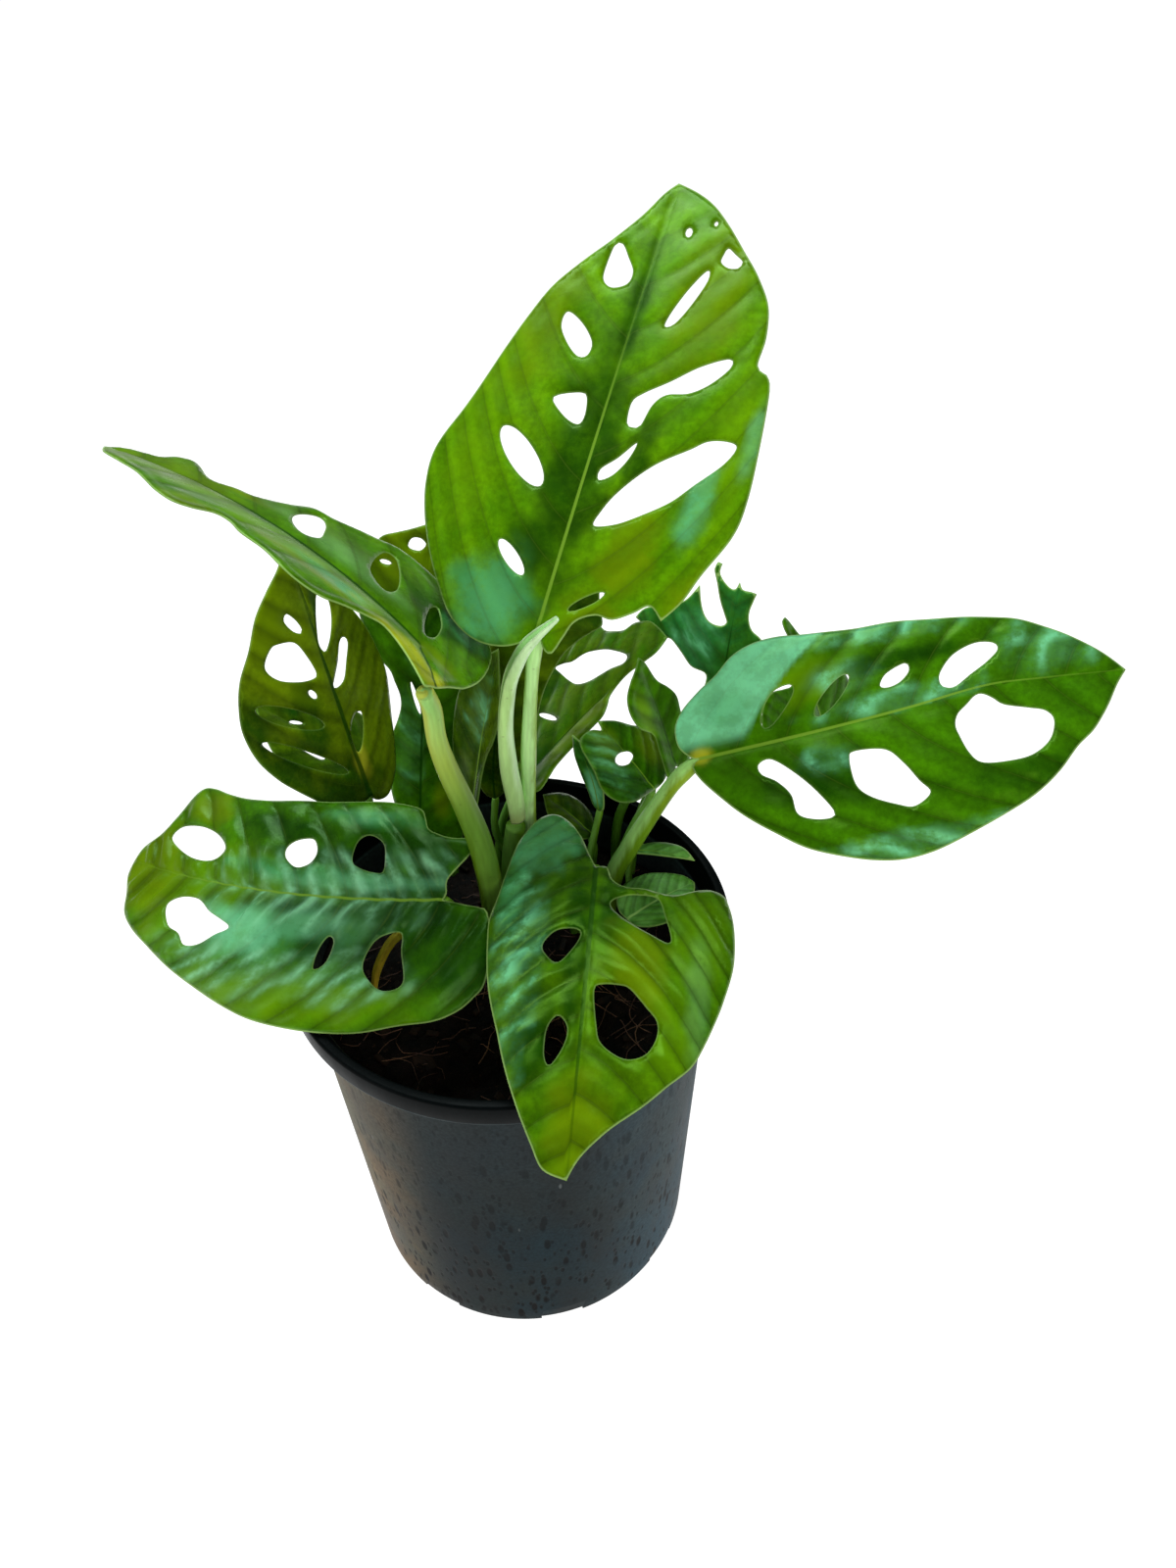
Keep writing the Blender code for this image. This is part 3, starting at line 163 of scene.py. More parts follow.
# Each leaf is laid out flat: s runs along the midrib from the stalk to the tip, and t across it, to the left.
# Base is where the midrib starts. Heading, rise and roll turn the blade there, and bend and sway curve its
# midrib. Fold tilts the two halves up and curl rolls their margins down, each as one angle or as a pair, left
# and right. The stalk meets the blade at the base, or at a seat where one is given.
LEAVES = {
    "crown": dict(
        base=(13.9, 18.0, 242.7), heading=61.5, rise=48.6, roll=6, length=134.1, bend=14, sway=3,
        width=88, fold=6, curl=10,
        left=[(-5, 3), (-8, 9), (-8, 17), (-4, 25), (3, 31), (12, 37), (22, 42), (32, 45), (42, 45),
              (55, 40), (70, 35), (85, 30), (95, 26), (104, 20), (113, 13), (122, 7), (130, 3)],
        right=[(-5, -3), (-6, -6), (-1, -8), (4, -10), (7, -15), (7, -20), (10, -25), (13, -29),
               (10, -33), (16, -37), (24, -40), (36, -45), (46, -46), (60, -45), (76, -43), (80, -41),
               (82, -38), (90, -38), (99, -36), (107, -31), (114, -25), (121, -19), (127, -13), (131, -7)],
        corners=[(10, -33), (80, -41)],
        holes=[oval((12.7, 8.4), (20.6, 17.9), 4),
               oval((37.8, 11), (51.9, 26.9), 7.5),
               [(57, 6), (58, 10), (62, 15), (64, 14), (66, 8), (65, 6), (60, 5)],
               [(76, 12), (77, 9.5), (81, 9.5), (86, 14), (88.5, 19), (84, 19.5), (79, 16)],
               [(98, 9), (100, 12), (105, 12.5), (111, 12), (112, 10), (108, 7), (104, 4.5), (100, 5)],
               [(30.5, -7), (35, -8), (40, -10.5), (46, -15), (51, -20), (56, -27), (59, -31), (60, -36),
                (59, -39), (54, -37), (47, -31), (41, -26), (36, -19.5), (32, -13)],
               [(43, -4.5), (46, -4), (50, -8), (55, -12), (50, -11), (45, -8)],
               [(59, -9.5), (60, -7.5), (66, -7), (69, -9.5), (73.5, -16), (79, -23), (82.5, -30),
                (80, -31), (74.5, -27), (71, -22), (69.5, -16), (66, -13), (60, -11.5)],
               [(89, -9.5), (93, -10), (101, -13), (107, -16.5), (104, -17.5), (96, -15), (90, -12)],
               [(110, -19.5), (112.5, -19.6), (114.6, -20.2), (113, -22.6), (110.8, -25.4), (108.8, -24.6),
                (108.4, -22)],
               oval((6.5, -7.0), (13.4, -15.8), 2.5, 8),
               oval((116.6, -8.1), (119.8, -7.4), 2.1, 8),
               oval((120.9, -14.9), (122.5, -14.5), 1.2, 6)]),
    "right": dict(
        base=(59.2, 15.0, 196.9), heading=-1.8, rise=15.9, roll=32, length=126.1, bend=14, sway=3,
        width=76, fold=6, curl=14,
        left=[(-2, 1), (-5, 5), (-5, 11), (-2, 16), (4, 21), (10, 25), (16, 30), (23, 32.5), (31, 33),
              (40, 31.5), (52, 30), (66, 29), (80, 27), (92, 24.5), (100, 22), (107, 18), (114, 13),
              (121, 6.5)],
        right=[(-2, -2), (0, -7), (5, -14), (10, -20), (17, -26.5), (26, -33.5), (37, -38.5), (48, -41.5),
               (57, -41.5), (66, -39.5), (80, -35), (90, -31), (98, -26), (105, -20), (111, -16),
               (117, -10), (122, -4)],
        holes=[[(20.5, 7), (22, 11), (26, 15.5), (31, 16.5), (31.5, 14), (28, 9.5), (23.5, 5.5), (21, 5)],
               oval((36.3, 5), (48.2, 15.6), 4.5),
               [(56.4, 10), (59, 13.3), (65, 15.3), (65.6, 12.8), (62.4, 10), (58.6, 9)],
               [(73.3, 6.7), (74, 10), (79, 14.7), (86, 17), (91.3, 16), (92, 13.6), (88, 10.6),
                (82.4, 7.8), (77.4, 5.2), (74.7, 5.3)],
               [(17, -6), (19.7, -4.7), (22.4, -6), (27, -11), (31.3, -17), (35, -24), (34, -26),
                (29, -25.3), (25, -22.8), (24.4, -17), (21.3, -12.2), (17.4, -9)],
               [(42.7, -10), (44.7, -8), (53, -9.4), (57, -14.4), (60, -20.6), (62, -24.7), (57, -27.6),
                (52.4, -26), (45.8, -22.2), (42.7, -17.8)],
               [(74, -6.5), (75.6, -3.3), (79, -0.8), (81.5, 1), (83.8, 1.4), (86.5, -0.4), (89, -3.2),
                (95.5, -5.8), (99.6, -7.6), (101, -11), (98, -16.5), (92, -19.8), (85, -20.2),
                (78, -19), (75.4, -15.4), (74.2, -10)]]),
    "front": dict(
        base=(28.1, -0.9, 169.4), heading=-94.6, rise=4.9, roll=0, length=96.8, bend=34, sway=-3,
        width=72, fold=4, curl=18,
        left=[(0.2, 3.3), (5.8, 5.2), (8.9, 9.1), (9.3, 14.7), (10.8, 21.3), (10.2, 25.2), (7.4, 30.2),
              (5.8, 34.7), (6.9, 38.6), (10.2, 40.2), (17, 41.6), (26, 42), (35, 41), (43.6, 39), (50, 37),
              (60, 33), (66, 29.7), (71.3, 24), (77, 18), (83.6, 9.7), (90, 3.6), (94.7, 0.8)],
        right=[(-6.4, -2.6), (-14, -5.3), (-21, -9.2), (-25.3, -13.7), (-25, -18), (-21, -21.4),
               (-14, -24.2), (-5.3, -26.2), (4.7, -27.4), (19, -29.4), (30, -29.4), (39, -28.3), (50, -26),
               (60, -22.6), (70, -19.2), (80, -14.8), (89, -10), (94.7, -6.4)],
        holes=[[(12, 14), (13, 19), (19, 21), (28.5, 23), (26.5, 17), (22, 10), (18, 6), (15, 5.5),
                (12.5, 9.5)],
               [(44, 9.7), (45, 12.4), (50, 17), (54, 20.2), (59, 20.2), (63.6, 17.4), (65, 12),
                (61.3, 5.8), (55.8, 4), (45.8, 2.7), (44, 4.7)],
               [(25.8, -4.8), (27.4, -2.6), (32, -4), (37.7, -8), (35.8, -11.4), (32, -13), (27, -9.8)],
               [(54.2, -6), (57.4, -3.7), (62.4, -4.2), (68, -7.2), (65.8, -9), (59, -9.2),
                (55.2, -7.8)]]),
    "low": dict(
        base=(-17.1, -13.2, 169.5), heading=178.2, rise=-1.2, roll=-24, length=108.4, bend=20, sway=-24,
        width=68, fold=4, curl=16,
        left=[(-6.4, 1.6), (-11, 2.7), (-13.2, 4.2), (-14.6, 14), (-13, 25), (-9.8, 29.3), (-5.3, 33),
              (1.3, 35.7), (10, 37), (20, 39.3), (30, 40), (40, 39.6), (50, 38.4), (59, 35.8), (70, 31.6),
              (79, 28), (88, 23.8), (96, 20), (101.3, 16), (104, 10.4), (107.4, 5)],
        right=[(-1, -2), (-1, -6), (-4, -10), (-8, -15), (-9, -19), (-2, -19.8), (2.4, -21.2),
               (6.3, -23.4), (7.8, -27.3), (10, -30.7), (19, -32.3), (28, -33), (39, -32.3), (50, -31.8),
               (57, -31), (68, -30), (77, -29.3), (86, -30), (92.4, -30.7), (97.4, -29.8), (100, -26),
               (100.8, -18.4), (103, -11.2), (107.4, -5)],
        holes=[[(9.7, 25), (14.7, 27.3), (19, 24.3), (21, 20), (19, 13.8), (15.8, 11), (11.3, 10.4),
                (10.8, 16)],
               [(34.7, 22), (31.6, 20), (30.2, 14), (32.0, 12.2), (34.2, 16.5)],
               [(63.3, 12.7), (67, 16), (71.3, 19.7), (75.8, 20.7), (79, 17.7), (83.6, 16), (87, 10.4),
                (83.6, 7), (77, 6.2), (71.3, 9.3)],
               [(19, -9.6), (21.3, -8.2), (29, -10.7), (29.7, -16.2), (28, -19.6), (24.7, -20.4),
                (20.2, -17.3)],
               [(42.2, -14), (43.6, -10), (48, -8.4), (52.4, -11.2), (53, -14.6), (50, -17.3),
                (44.7, -18)],
               [(75.2, -11.2), (77.4, -7), (83.6, -5.8), (91.3, -7.3), (98, -10.7), (96, -15),
                (88, -16.6), (80, -15)]]),
    "wing": dict(
        base=(-17.3, 8.0, 245.2), heading=148.4, rise=37.6, roll=26, length=101.5, bend=30, sway=0,
        width=66, fold=6, curl=2,
        seat=(-11.5, 17.5),
        left=[(-10.5, 20), (-7, 17.5), (-2, 14), (4, 11), (9, 10), (13, 13.5), (18, 19), (22, 24),
              (28, 26), (34, 25.5), (41, 22.5), (48, 21.5), (53, 18.5), (57, 19), (60, 25), (64, 28),
              (70, 25.5), (76, 21), (82, 16.5), (88, 13.5), (96, 8.5)],
        right=[(-13, 14), (-14.5, 7.5), (-17, -0.5), (-18, -9), (-16.5, -19), (-12.5, -27), (-4, -33),
               (8, -34), (18, -35), (26, -34), (32, -30), (36, -28), (43.6, -24), (50, -22.6),
               (54.7, -15.6), (61.3, -9.4), (66, -8.3), (71.3, -6), (74.7, -6.7), (79, -10.6),
               (83, -12.8), (87, -10.6), (89, -6.3), (97, -4)],
        holes=[[(40, -9), (42, -6), (45, -5.5), (48.5, -8), (50, -12), (49, -17), (46, -20), (43, -17.5),
                (41, -13)],
               [(15.8, -12.8), (17, -8.3), (21.3, -9), (25.2, -12.8), (27.4, -21.7), (27, -27),
                (23.6, -27), (19, -20.6)],
               [(-1, -8.3), (0.8, -5.6), (3.6, -9.4), (6.3, -17.2), (5.8, -21.7), (2.4, -18.3),
                (0, -14)]]),
    "back": dict(
        base=(-44.9, 38.0, 166.2), heading=135.0, rise=73.4, roll=4, length=87.5, bend=8, sway=-8,
        width=52, fold=(6, -16), curl=4,
        left=[(0, 4), (2, 11), (6, 17), (10, 20), (16, 25), (22, 29.5), (30, 33.5), (39, 35), (46, 33.5),
              (53, 30), (60, 24), (68, 18.5), (74, 12), (80, 5)],
        right=[(-3, -3), (-4, -9), (1, -16), (8, -20), (16, -23), (25, -26), (36, -28), (48, -26),
               (58, -21), (68, -14), (78, -6)],
        holes=[[(44.7, 5.8), (45.8, 11.3), (49, 18), (53.6, 20.8), (58, 17), (58.6, 13.6), (57, 8),
                (51.3, 5.2), (45.8, 4)],
               [(59, 4.8), (60.5, 7.4), (64.2, 9.4), (66, 7.6), (63, 5), (60, 4)],
               oval((12, 5), (34, 30), 4.4),
               oval((29.8, 7.6), (44, 28.6), 5.4),
               oval((38.8, 6.8), (42, 9), 2.2, 6),
               [(38.6, -2), (40.2, -1), (45.8, -6), (51.3, -9.8), (52, -12.6), (49.7, -13.7),
                (44.7, -10.3), (39.7, -6.4)],
               [(50.8, -2.6), (51.8, -1), (55, -0.8), (60.5, -2.4), (65, -4.4), (68.2, -6.4), (68, -9.2),
                (65, -11), (59.5, -9.8), (54, -6.4)],
               [(16, -1.5), (19, -1), (23.6, -1.5), (27.4, -5.3), (27, -9.2), (22.4, -8),
                (17, -4.2)]]),
    "rear": dict(
        base=(-47.7, 62.0, 155.1), heading=170.0, rise=38.3, roll=0, length=48.0, bend=4, sway=0,
        width=40, fold=6, curl=8,
        left=[(1, 5), (6, 10), (13, 15), (24, 19.5), (33, 17.5), (41, 11), (46, 5)],
        right=[(0, -5), (3, -12), (8, -19), (14, -23), (20, -21.5), (24, -18), (29, -15), (37, -8.5),
               (44, -3)],
        holes=[oval((30.8, -3), (35, -0.6), 1.5, 6),
               [(19, 5.4), (24, 3.6), (28.2, 5.2), (28.4, 8), (24, 8.6), (19.4, 7.8)]]),
    "tall": dict(
        base=(-32.9, 48.0, 140.4), heading=76.3, rise=67.8, roll=10, length=106.0, bend=9, sway=0,
        width=50, fold=(-4, 8), curl=8,
        left=[(3, 6), (8, 8), (11, 9.5), (18, 11), (27, 11.5), (35, 10.2), (40, 8.6), (44.5, 7.6),
              (48.5, 8), (53, 10), (57, 12), (61.5, 17), (65.5, 20), (71.5, 22), (76, 23.6), (84, 24.5),
              (92, 22), (97.5, 19), (101, 16), (102.5, 11), (103.6, 7), (104.8, 3.4)],
        right=[(-7, -6), (-8, -10), (-2, -15), (9, -15), (22, -14), (38, -16), (56, -18), (74, -18),
               (90, -14), (99, -7), (104, -2)],
        holes=[[(98.3, 7), (100.3, 6.4), (101.2, 5), (101, 2.8), (99.4, 1), (98, 1.6), (97, 3),
                (97.3, 5.6)],
               oval((93, 16.6), (92.2, 12.4), 1.5, 8),
               oval((53.5, 4.4), (42.5, 0.8), 1.5, 8)]),
    "mid": dict(
        base=(-12.4, 31.0, 160.5), heading=37.9, rise=77.9, roll=0, length=62.5, bend=6, sway=0,
        width=26, fold=14, curl=6,
        left=[(2, 3), (9, 7), (20, 11), (31, 13), (42, 12.5), (50, 9), (57, 5)],
        right=[(2, -2), (9, -3.4), (20, -3.8), (28, -5.2), (35, -7.7), (44, -8.5), (54, -5)],
        holes=[]),
    "shade": dict(
        base=(-0.4, 48.0, 156.4), heading=23.2, rise=44.3, roll=-10, length=75.7, bend=10, sway=0,
        width=60, fold=6, curl=8,
        left=[(0, 4), (2, 12), (8, 22), (16, 32), (25, 41), (35, 48), (46, 51.5), (54, 49.5), (59.5, 42),
              (60.6, 30), (63, 24), (66, 20), (70.5, 19), (74.5, 14), (75.6, 7)],
        right=[(3, -4), (8, -10), (12, -13.6), (17, -11.9), (21, -10.4), (29.4, -9.9), (38.5, -10),
               (43.4, -9.5), (46.7, -6.2), (49, -3), (54, -0.8), (59, -0.4), (64.5, -1.8), (70, -2.6)],
        holes=[[(38.5, 34.4), (41.8, 32.4), (45, 29), (50.8, 26.6), (55.8, 21), (59, 15), (61.5, 7.7),
                (59, 5.6), (54, 8.5), (46, 11.8), (41.8, 16), (40, 22.5), (39, 29)],
               oval((24.5, 20.5), (29, 9.5), 2.0, 8)]),
    "nook": dict(
        base=(-5.0, 44.5, 158.0), heading=0.0, rise=93.0, roll=82, length=92.0, bend=8, sway=-54,
        width=50, fold=6, curl=8,
        left=[(2, 3), (7, 5), (16.5, 6.5), (30, 7), (43.5, 9.5), (58, 13), (65, 12.5), (70.5, 11.5),
              (75, 9.5), (82, 4.5), (88.5, 1.5)],
        right=[(3, -3), (8, -4), (14, -5.5), (20, -9.5), (28.5, -12.5), (40, -10.8), (51.5, -9), (61, -8),
               (67.5, -7.5), (74, -8), (80, -9), (84.5, -9.4), (88.5, -4)],
        holes=[]),
    "lobed": dict(
        base=(71.5, 66.0, 177.1), heading=70.8, rise=62.5, roll=0, length=43.4, bend=10, sway=0,
        width=50, fold=4, curl=10,
        left=[(-2, 3), (4, 6), (11, 6), (13, 11.5), (17.5, 16), (21, 20), (21.2, 23), (23.5, 29),
              (26.5, 34), (30, 31), (32.5, 24), (34.5, 17.5), (40.5, 13.2), (34.5, 11.6), (30.5, 9.6),
              (28.4, 7), (28, 3.6), (29.4, 2), (31.6, 3), (36.5, 5.5), (42, 7.5), (46.4, 9.2),
              (49, 8.4), (48.5, 6.8), (45.8, 7.2), (43.4, 5.8), (41, 3), (40.8, 1)],
        right=[(0, -5), (6, -11), (14, -15), (21, -14), (25.6, -10.5), (28, -7), (31, -5.4), (34, -5),
               (37, -5.6), (40.2, -6.4), (40.6, -4.4), (41, -1.4)],
        corners=[(26.5, 34), (40.5, 13.2), (49, 8.4), (48.5, 6.8), (40.2, -6.4)],
        holes=[]),
    "holed": dict(
        base=(48.0, 34.0, 169.2), heading=149.9, rise=50.3, roll=0, length=29.4, bend=10, sway=0,
        width=36, fold=4, curl=10,
        left=[(0.8, 3), (3, 10.7), (7.2, 16), (13, 18), (19.6, 15.8), (27, 14), (29.8, 10.7), (29, 5),
              (26.5, 1.5)],
        right=[(-0.6, -5), (0.6, -12), (3, -18), (8, -19.4), (12, -18), (17, -14), (20.4, -10),
               (25.3, -5.6)],
        holes=[oval((13.5, -2), (16.2, 6.4), 4.4)]),
    "small": dict(
        base=(54.9, 36.0, 177.2), heading=139.5, rise=69.6, roll=0, length=38.8, bend=6, sway=0,
        width=16, fold=12, curl=6,
        left=[(-3, 2), (-1, 6), (8, 6), (14.8, 6), (19.7, 11), (25.5, 13), (30.4, 11.8), (33.7, 7.7),
              (36.2, 4)],
        right=[(-2.5, -3.5), (-0.5, -6), (8, -7.6), (16.4, -7.9), (21.4, -8.2), (25.5, -6.2), (29.6, -3.2),
               (36.2, -1.5)],
        holes=[]),
    "slim": dict(
        base=(29.7, 33.5, 161.0), heading=53.4, rise=95.2, roll=0, length=29.8, bend=10, sway=40,
        width=12, fold=10, curl=14,
        left=[(2, 2.0), (8, 3.0), (15, 3.8), (22, 3.4), (27, 1.6)],
        right=[(2, -2.2), (8, -3.6), (15, -4.8), (22, -4.6), (27, -2.2)],
        holes=[]),
    "under": dict(
        base=(27.6, 38.0, 146.4), heading=149.3, rise=40.6, roll=10, length=22.0, bend=20, sway=0,
        width=20, fold=4, curl=14,
        left=[(1, 4), (5, 8), (11, 9), (17, 6.5)],
        right=[(1, -4), (5, -8), (11, -9), (17, -6.5)],
        holes=[]),
    "blade": dict(
        base=(39.9, 30.2, 146.0), heading=-26.4, rise=25.1, roll=0, length=23.7, bend=28, sway=0,
        width=9, fold=10, curl=10,
        left=[(2, 2.4), (8, 4.4), (14, 4.6), (19, 3.4)],
        right=[(2, -1.6), (8, -2.0), (14, -1.8), (19, -1.0)],
        holes=[]),
    "curled": dict(
        base=(37.5, -1.0, 146.0), heading=36.1, rise=8.0, roll=0, length=28.3, bend=20, sway=0,
        width=18, fold=10, curl=16,
        left=[(0, 4), (3, 9), (9, 12.5), (17, 12.5), (23, 8.5), (27, 4)],
        right=[(0, -4), (4, -8), (12, -10), (19, -8), (25, -3.6)],
        holes=[]),
    "far": dict(
        base=(114.4, 70.0, 150.4), heading=139.6, rise=68.4, roll=0, length=56.0, bend=10, sway=0,
        width=34, fold=10, curl=8,
        left=[(0, 6), (4, 15), (12, 25), (22, 31.5), (31, 32), (36.5, 28), (38.2, 22), (36.4, 16),
              (35.4, 11), (39, 6.5), (44, 3.4), (49, 2.8), (53, 3.2), (55.6, 2.6)],
        right=[(0, -4), (5, -12), (14, -18), (24, -18.5), (34, -12), (42, -6), (48, -3), (52, -1.6),
               (54.4, -0.8)],
        holes=[]),
}

# Each stalk rises from the soil to the underside of its leaf. Route is its middle line from below, without
# the last point, which is the leaf's seat. Radii are its half widths along the same points, seat included.
STALKS = {
    "crown": dict(
        route=[(7.6, 36.0, 113.0), (7.6, 35.8, 128.0), (6.8, 34.0, 150.0), (7.2, 30.8, 168.0),
               (8.5, 25.4, 192.0), (10.0, 22.0, 211.0), (12.0, 19.6, 230.0)],
        radii=[2.4, 2.4, 2.4, 2.4, 2.6, 2.2, 2.0, 1.6]),
    "wing": dict(
        route=[(-3.4, 4.4, 113.0), (-3.4, 3.8, 128.0), (-3.9, 0.0, 150.0), (-4.3, -2.0, 168.0),
               (-5.8, -3.5, 184.0), (-8.6, -5.5, 199.6), (-11.8, -7.0, 213.8), (-13.4, -8.5, 225.2),
               (-13.5, -9.5, 236.0)],
        radii=[3.2, 3.4, 3.6, 3.8, 3.7, 3.4, 3.1, 2.8, 2.7, 2.4]),
    "right": dict(
        route=[(31.6, 20.6, 113.0), (31.8, 20.2, 128.0), (34.6, 18.8, 147.0), (39.4, 17.2, 160.0),
               (46.4, 15.8, 176.0), (53.4, 14.4, 190.0)],
        radii=[3.0, 3.2, 3.3, 3.2, 2.8, 2.4, 1.8]),
    "front": dict(
        route=[(21.0, 13.0, 113.0), (21.2, 12.6, 127.0), (24.0, 7.8, 147.0), (26.8, 3.4, 160.0)],
        radii=[2.2, 2.3, 2.2, 2.0, 1.6]),
    "low": dict(
        route=[(-14.0, 2.0, 113.0), (-14.1, 1.6, 127.0), (-14.4, -4.4, 147.0), (-15.2, -10.4, 161.0)],
        radii=[2.2, 2.3, 2.2, 2.0, 1.6]),
    "back": dict(
        route=[(-26.0, 33.0, 113.0), (-26.2, 33.2, 127.0), (-36.0, 39.6, 143.0), (-46.6, 44.2, 154.0)],
        radii=[2.0, 2.1, 2.0, 1.8, 1.4]),
    "tall": dict(
        route=[(-22.0, 43.0, 113.0), (-22.1, 43.2, 127.0), (-28.0, 48.6, 136.0)],
        radii=[1.8, 1.9, 1.7, 1.3]),
    "rear": dict(
        route=[(-14.0, 51.0, 113.0), (-14.1, 51.2, 127.0), (-20.0, 57.0, 149.0), (-38.0, 64.0, 152.0),
               (-48.4, 65.4, 150.6)],
        radii=[1.6, 1.7, 1.6, 1.4, 1.3, 1.0]),
    "mid": dict(
        route=[(-9.6, 26.6, 113.0), (-9.6, 26.8, 127.0), (-11.0, 31.0, 148.0)],
        radii=[1.8, 1.9, 1.7, 1.2]),
    "shade": dict(
        route=[(-6.0, 44.0, 113.0), (-6.0, 44.2, 127.0), (-3.4, 47.6, 145.0)],
        radii=[1.7, 1.8, 1.6, 1.2]),
    "nook": dict(
        route=[(0.6, 42.4, 113.0), (0.6, 42.4, 127.0), (-5.6, 43.2, 144.0)],
        radii=[1.4, 1.5, 1.4, 1.0]),
    "lobed": dict(
        route=[(40.6, 41.0, 113.0), (40.7, 41.1, 127.0), (43.4, 43.6, 148.0), (53.0, 54.0, 163.0),
               (66.0, 65.0, 171.0)],
        radii=[1.7, 1.8, 1.7, 1.6, 1.4, 1.2]),
    "holed": dict(
        route=[(32.0, 30.6, 113.0), (32.2, 30.8, 127.0), (40.0, 34.2, 150.0), (46.0, 35.6, 163.0)],
        radii=[1.6, 1.7, 1.6, 1.4, 1.1]),
    "small": dict(
        route=[(35.8, 36.0, 113.0), (36.0, 36.1, 127.0), (45.6, 38.8, 150.0), (53.0, 38.6, 168.0)],
        radii=[1.5, 1.6, 1.5, 1.3, 1.0]),
    "slim": dict(
        route=[(24.0, 29.0, 113.0), (24.1, 29.2, 127.0), (27.2, 32.8, 146.0)],
        radii=[1.5, 1.5, 1.4, 1.0]),
    "under": dict(
        route=[(27.0, 41.0, 113.0), (27.1, 41.0, 127.0), (28.0, 40.0, 138.0)],
        radii=[1.4, 1.4, 1.3, 1.0]),
    "blade": dict(
        route=[(40.0, 25.6, 113.0), (40.0, 26.0, 127.0), (39.4, 29.6, 137.0)],
        radii=[1.3, 1.3, 1.2, 0.9]),
    "curled": dict(
        route=[(31.0, -6.0, 113.0), (31.1, -5.8, 127.0), (34.4, -3.4, 138.0)],
        radii=[1.5, 1.5, 1.4, 1.0]),
    "far": dict(
        route=[(35.4, 46.6, 113.0), (35.5, 46.7, 127.0), (38.4, 49.4, 149.0), (56.0, 64.0, 165.0),
               (86.0, 76.0, 165.0), (107.0, 74.0, 154.0)],
        radii=[1.7, 1.8, 1.7, 1.6, 1.5, 1.4, 1.1]),
}
STEM = dict(route=[(-1.4, 31.4, 113.0), (-1.3, 31.2, 128.0), (0.8, 29.8, 148.0), (2.7, 28.0, 161.0)],
            radii=[3.2, 3.3, 3.4, 3.2])
SHEATH = dict(route=[(3.0, 27.5, 164.8), (2.7, 26.0, 175.0), (1.7, 23.5, 190.0), (2.0, 21.2, 206.0),
                     (4.2, 18.5, 222.0), (6.8, 16.5, 231.0), (11.2, 14.2, 240.0), (19.3, 12.0, 249.0)],
              radii=[2.8, 3.1, 3.1, 2.6, 2.3, 2.2, 1.8, 0.6])
YELLOW_STALK = dict(route=[(-25.0, 12.0, 113.0), (-25.6, 11.4, 127.0), (-30.0, 3.0, 139.0),
                           (-36.0, -4.0, 143.0), (-41.0, -10.0, 137.0), (-43.0, -13.0, 129.5)],
                    radii=[1.7, 1.7, 1.6, 1.5, 1.3, 0.9])

# How each leaf looks. Main and other are the greens of its ground, and slot names its kind of material.
# Lean and sweep are the slope and the curve of its side veins, and gap is their spacing. Quilt is the
# height of the panels between them, pucker that of the folds beside the midrib, and wave that of the wavy
# margin. Rib gives points of the midrib where it leaves the leaf's straight axis, rib_tone its colour,
# rib_half its half width and rib_end where it fades. Streaks is how strongly the ground is streaked along
# the side veins, furrow_shade how bright the painted shade in the furrows leaves it along them, line how
# bright it stays right on them, and edge how pale the margin is. Base_sheen is where along the midrib the
# painted bluish sheen over the left base ends. Spots are soft patches of colour, among them painted sheen
# and deep patches that are partly painted shade: kind, s, t, reach along and across, and a strength where
# it isn't 1. A glint is a painted broken highlight, mostly on one flank of each fold, with shine as its
# colour and gleam as its strength. Folds is how many folds a panel has, and gloss the tint of reflections.
PLAIN = dict(slot="leaf", pucker=0.0, rib=[(0.0, 0.0), (1.0, 0.0)], rib_tone="rib", rib_half=0.4, rib_end=0.8,
             streaks=0.22, furrow_shade=0.72, line=0.88, edge=0.6, base_sheen=None, folds=1, shine="sky_sheen", gleam=0.7,
             gloss=(0.45, 0.95, 0.06), spots=[])
SHADED = dict(PLAIN, slot="shade_leaf", edge=0.2)
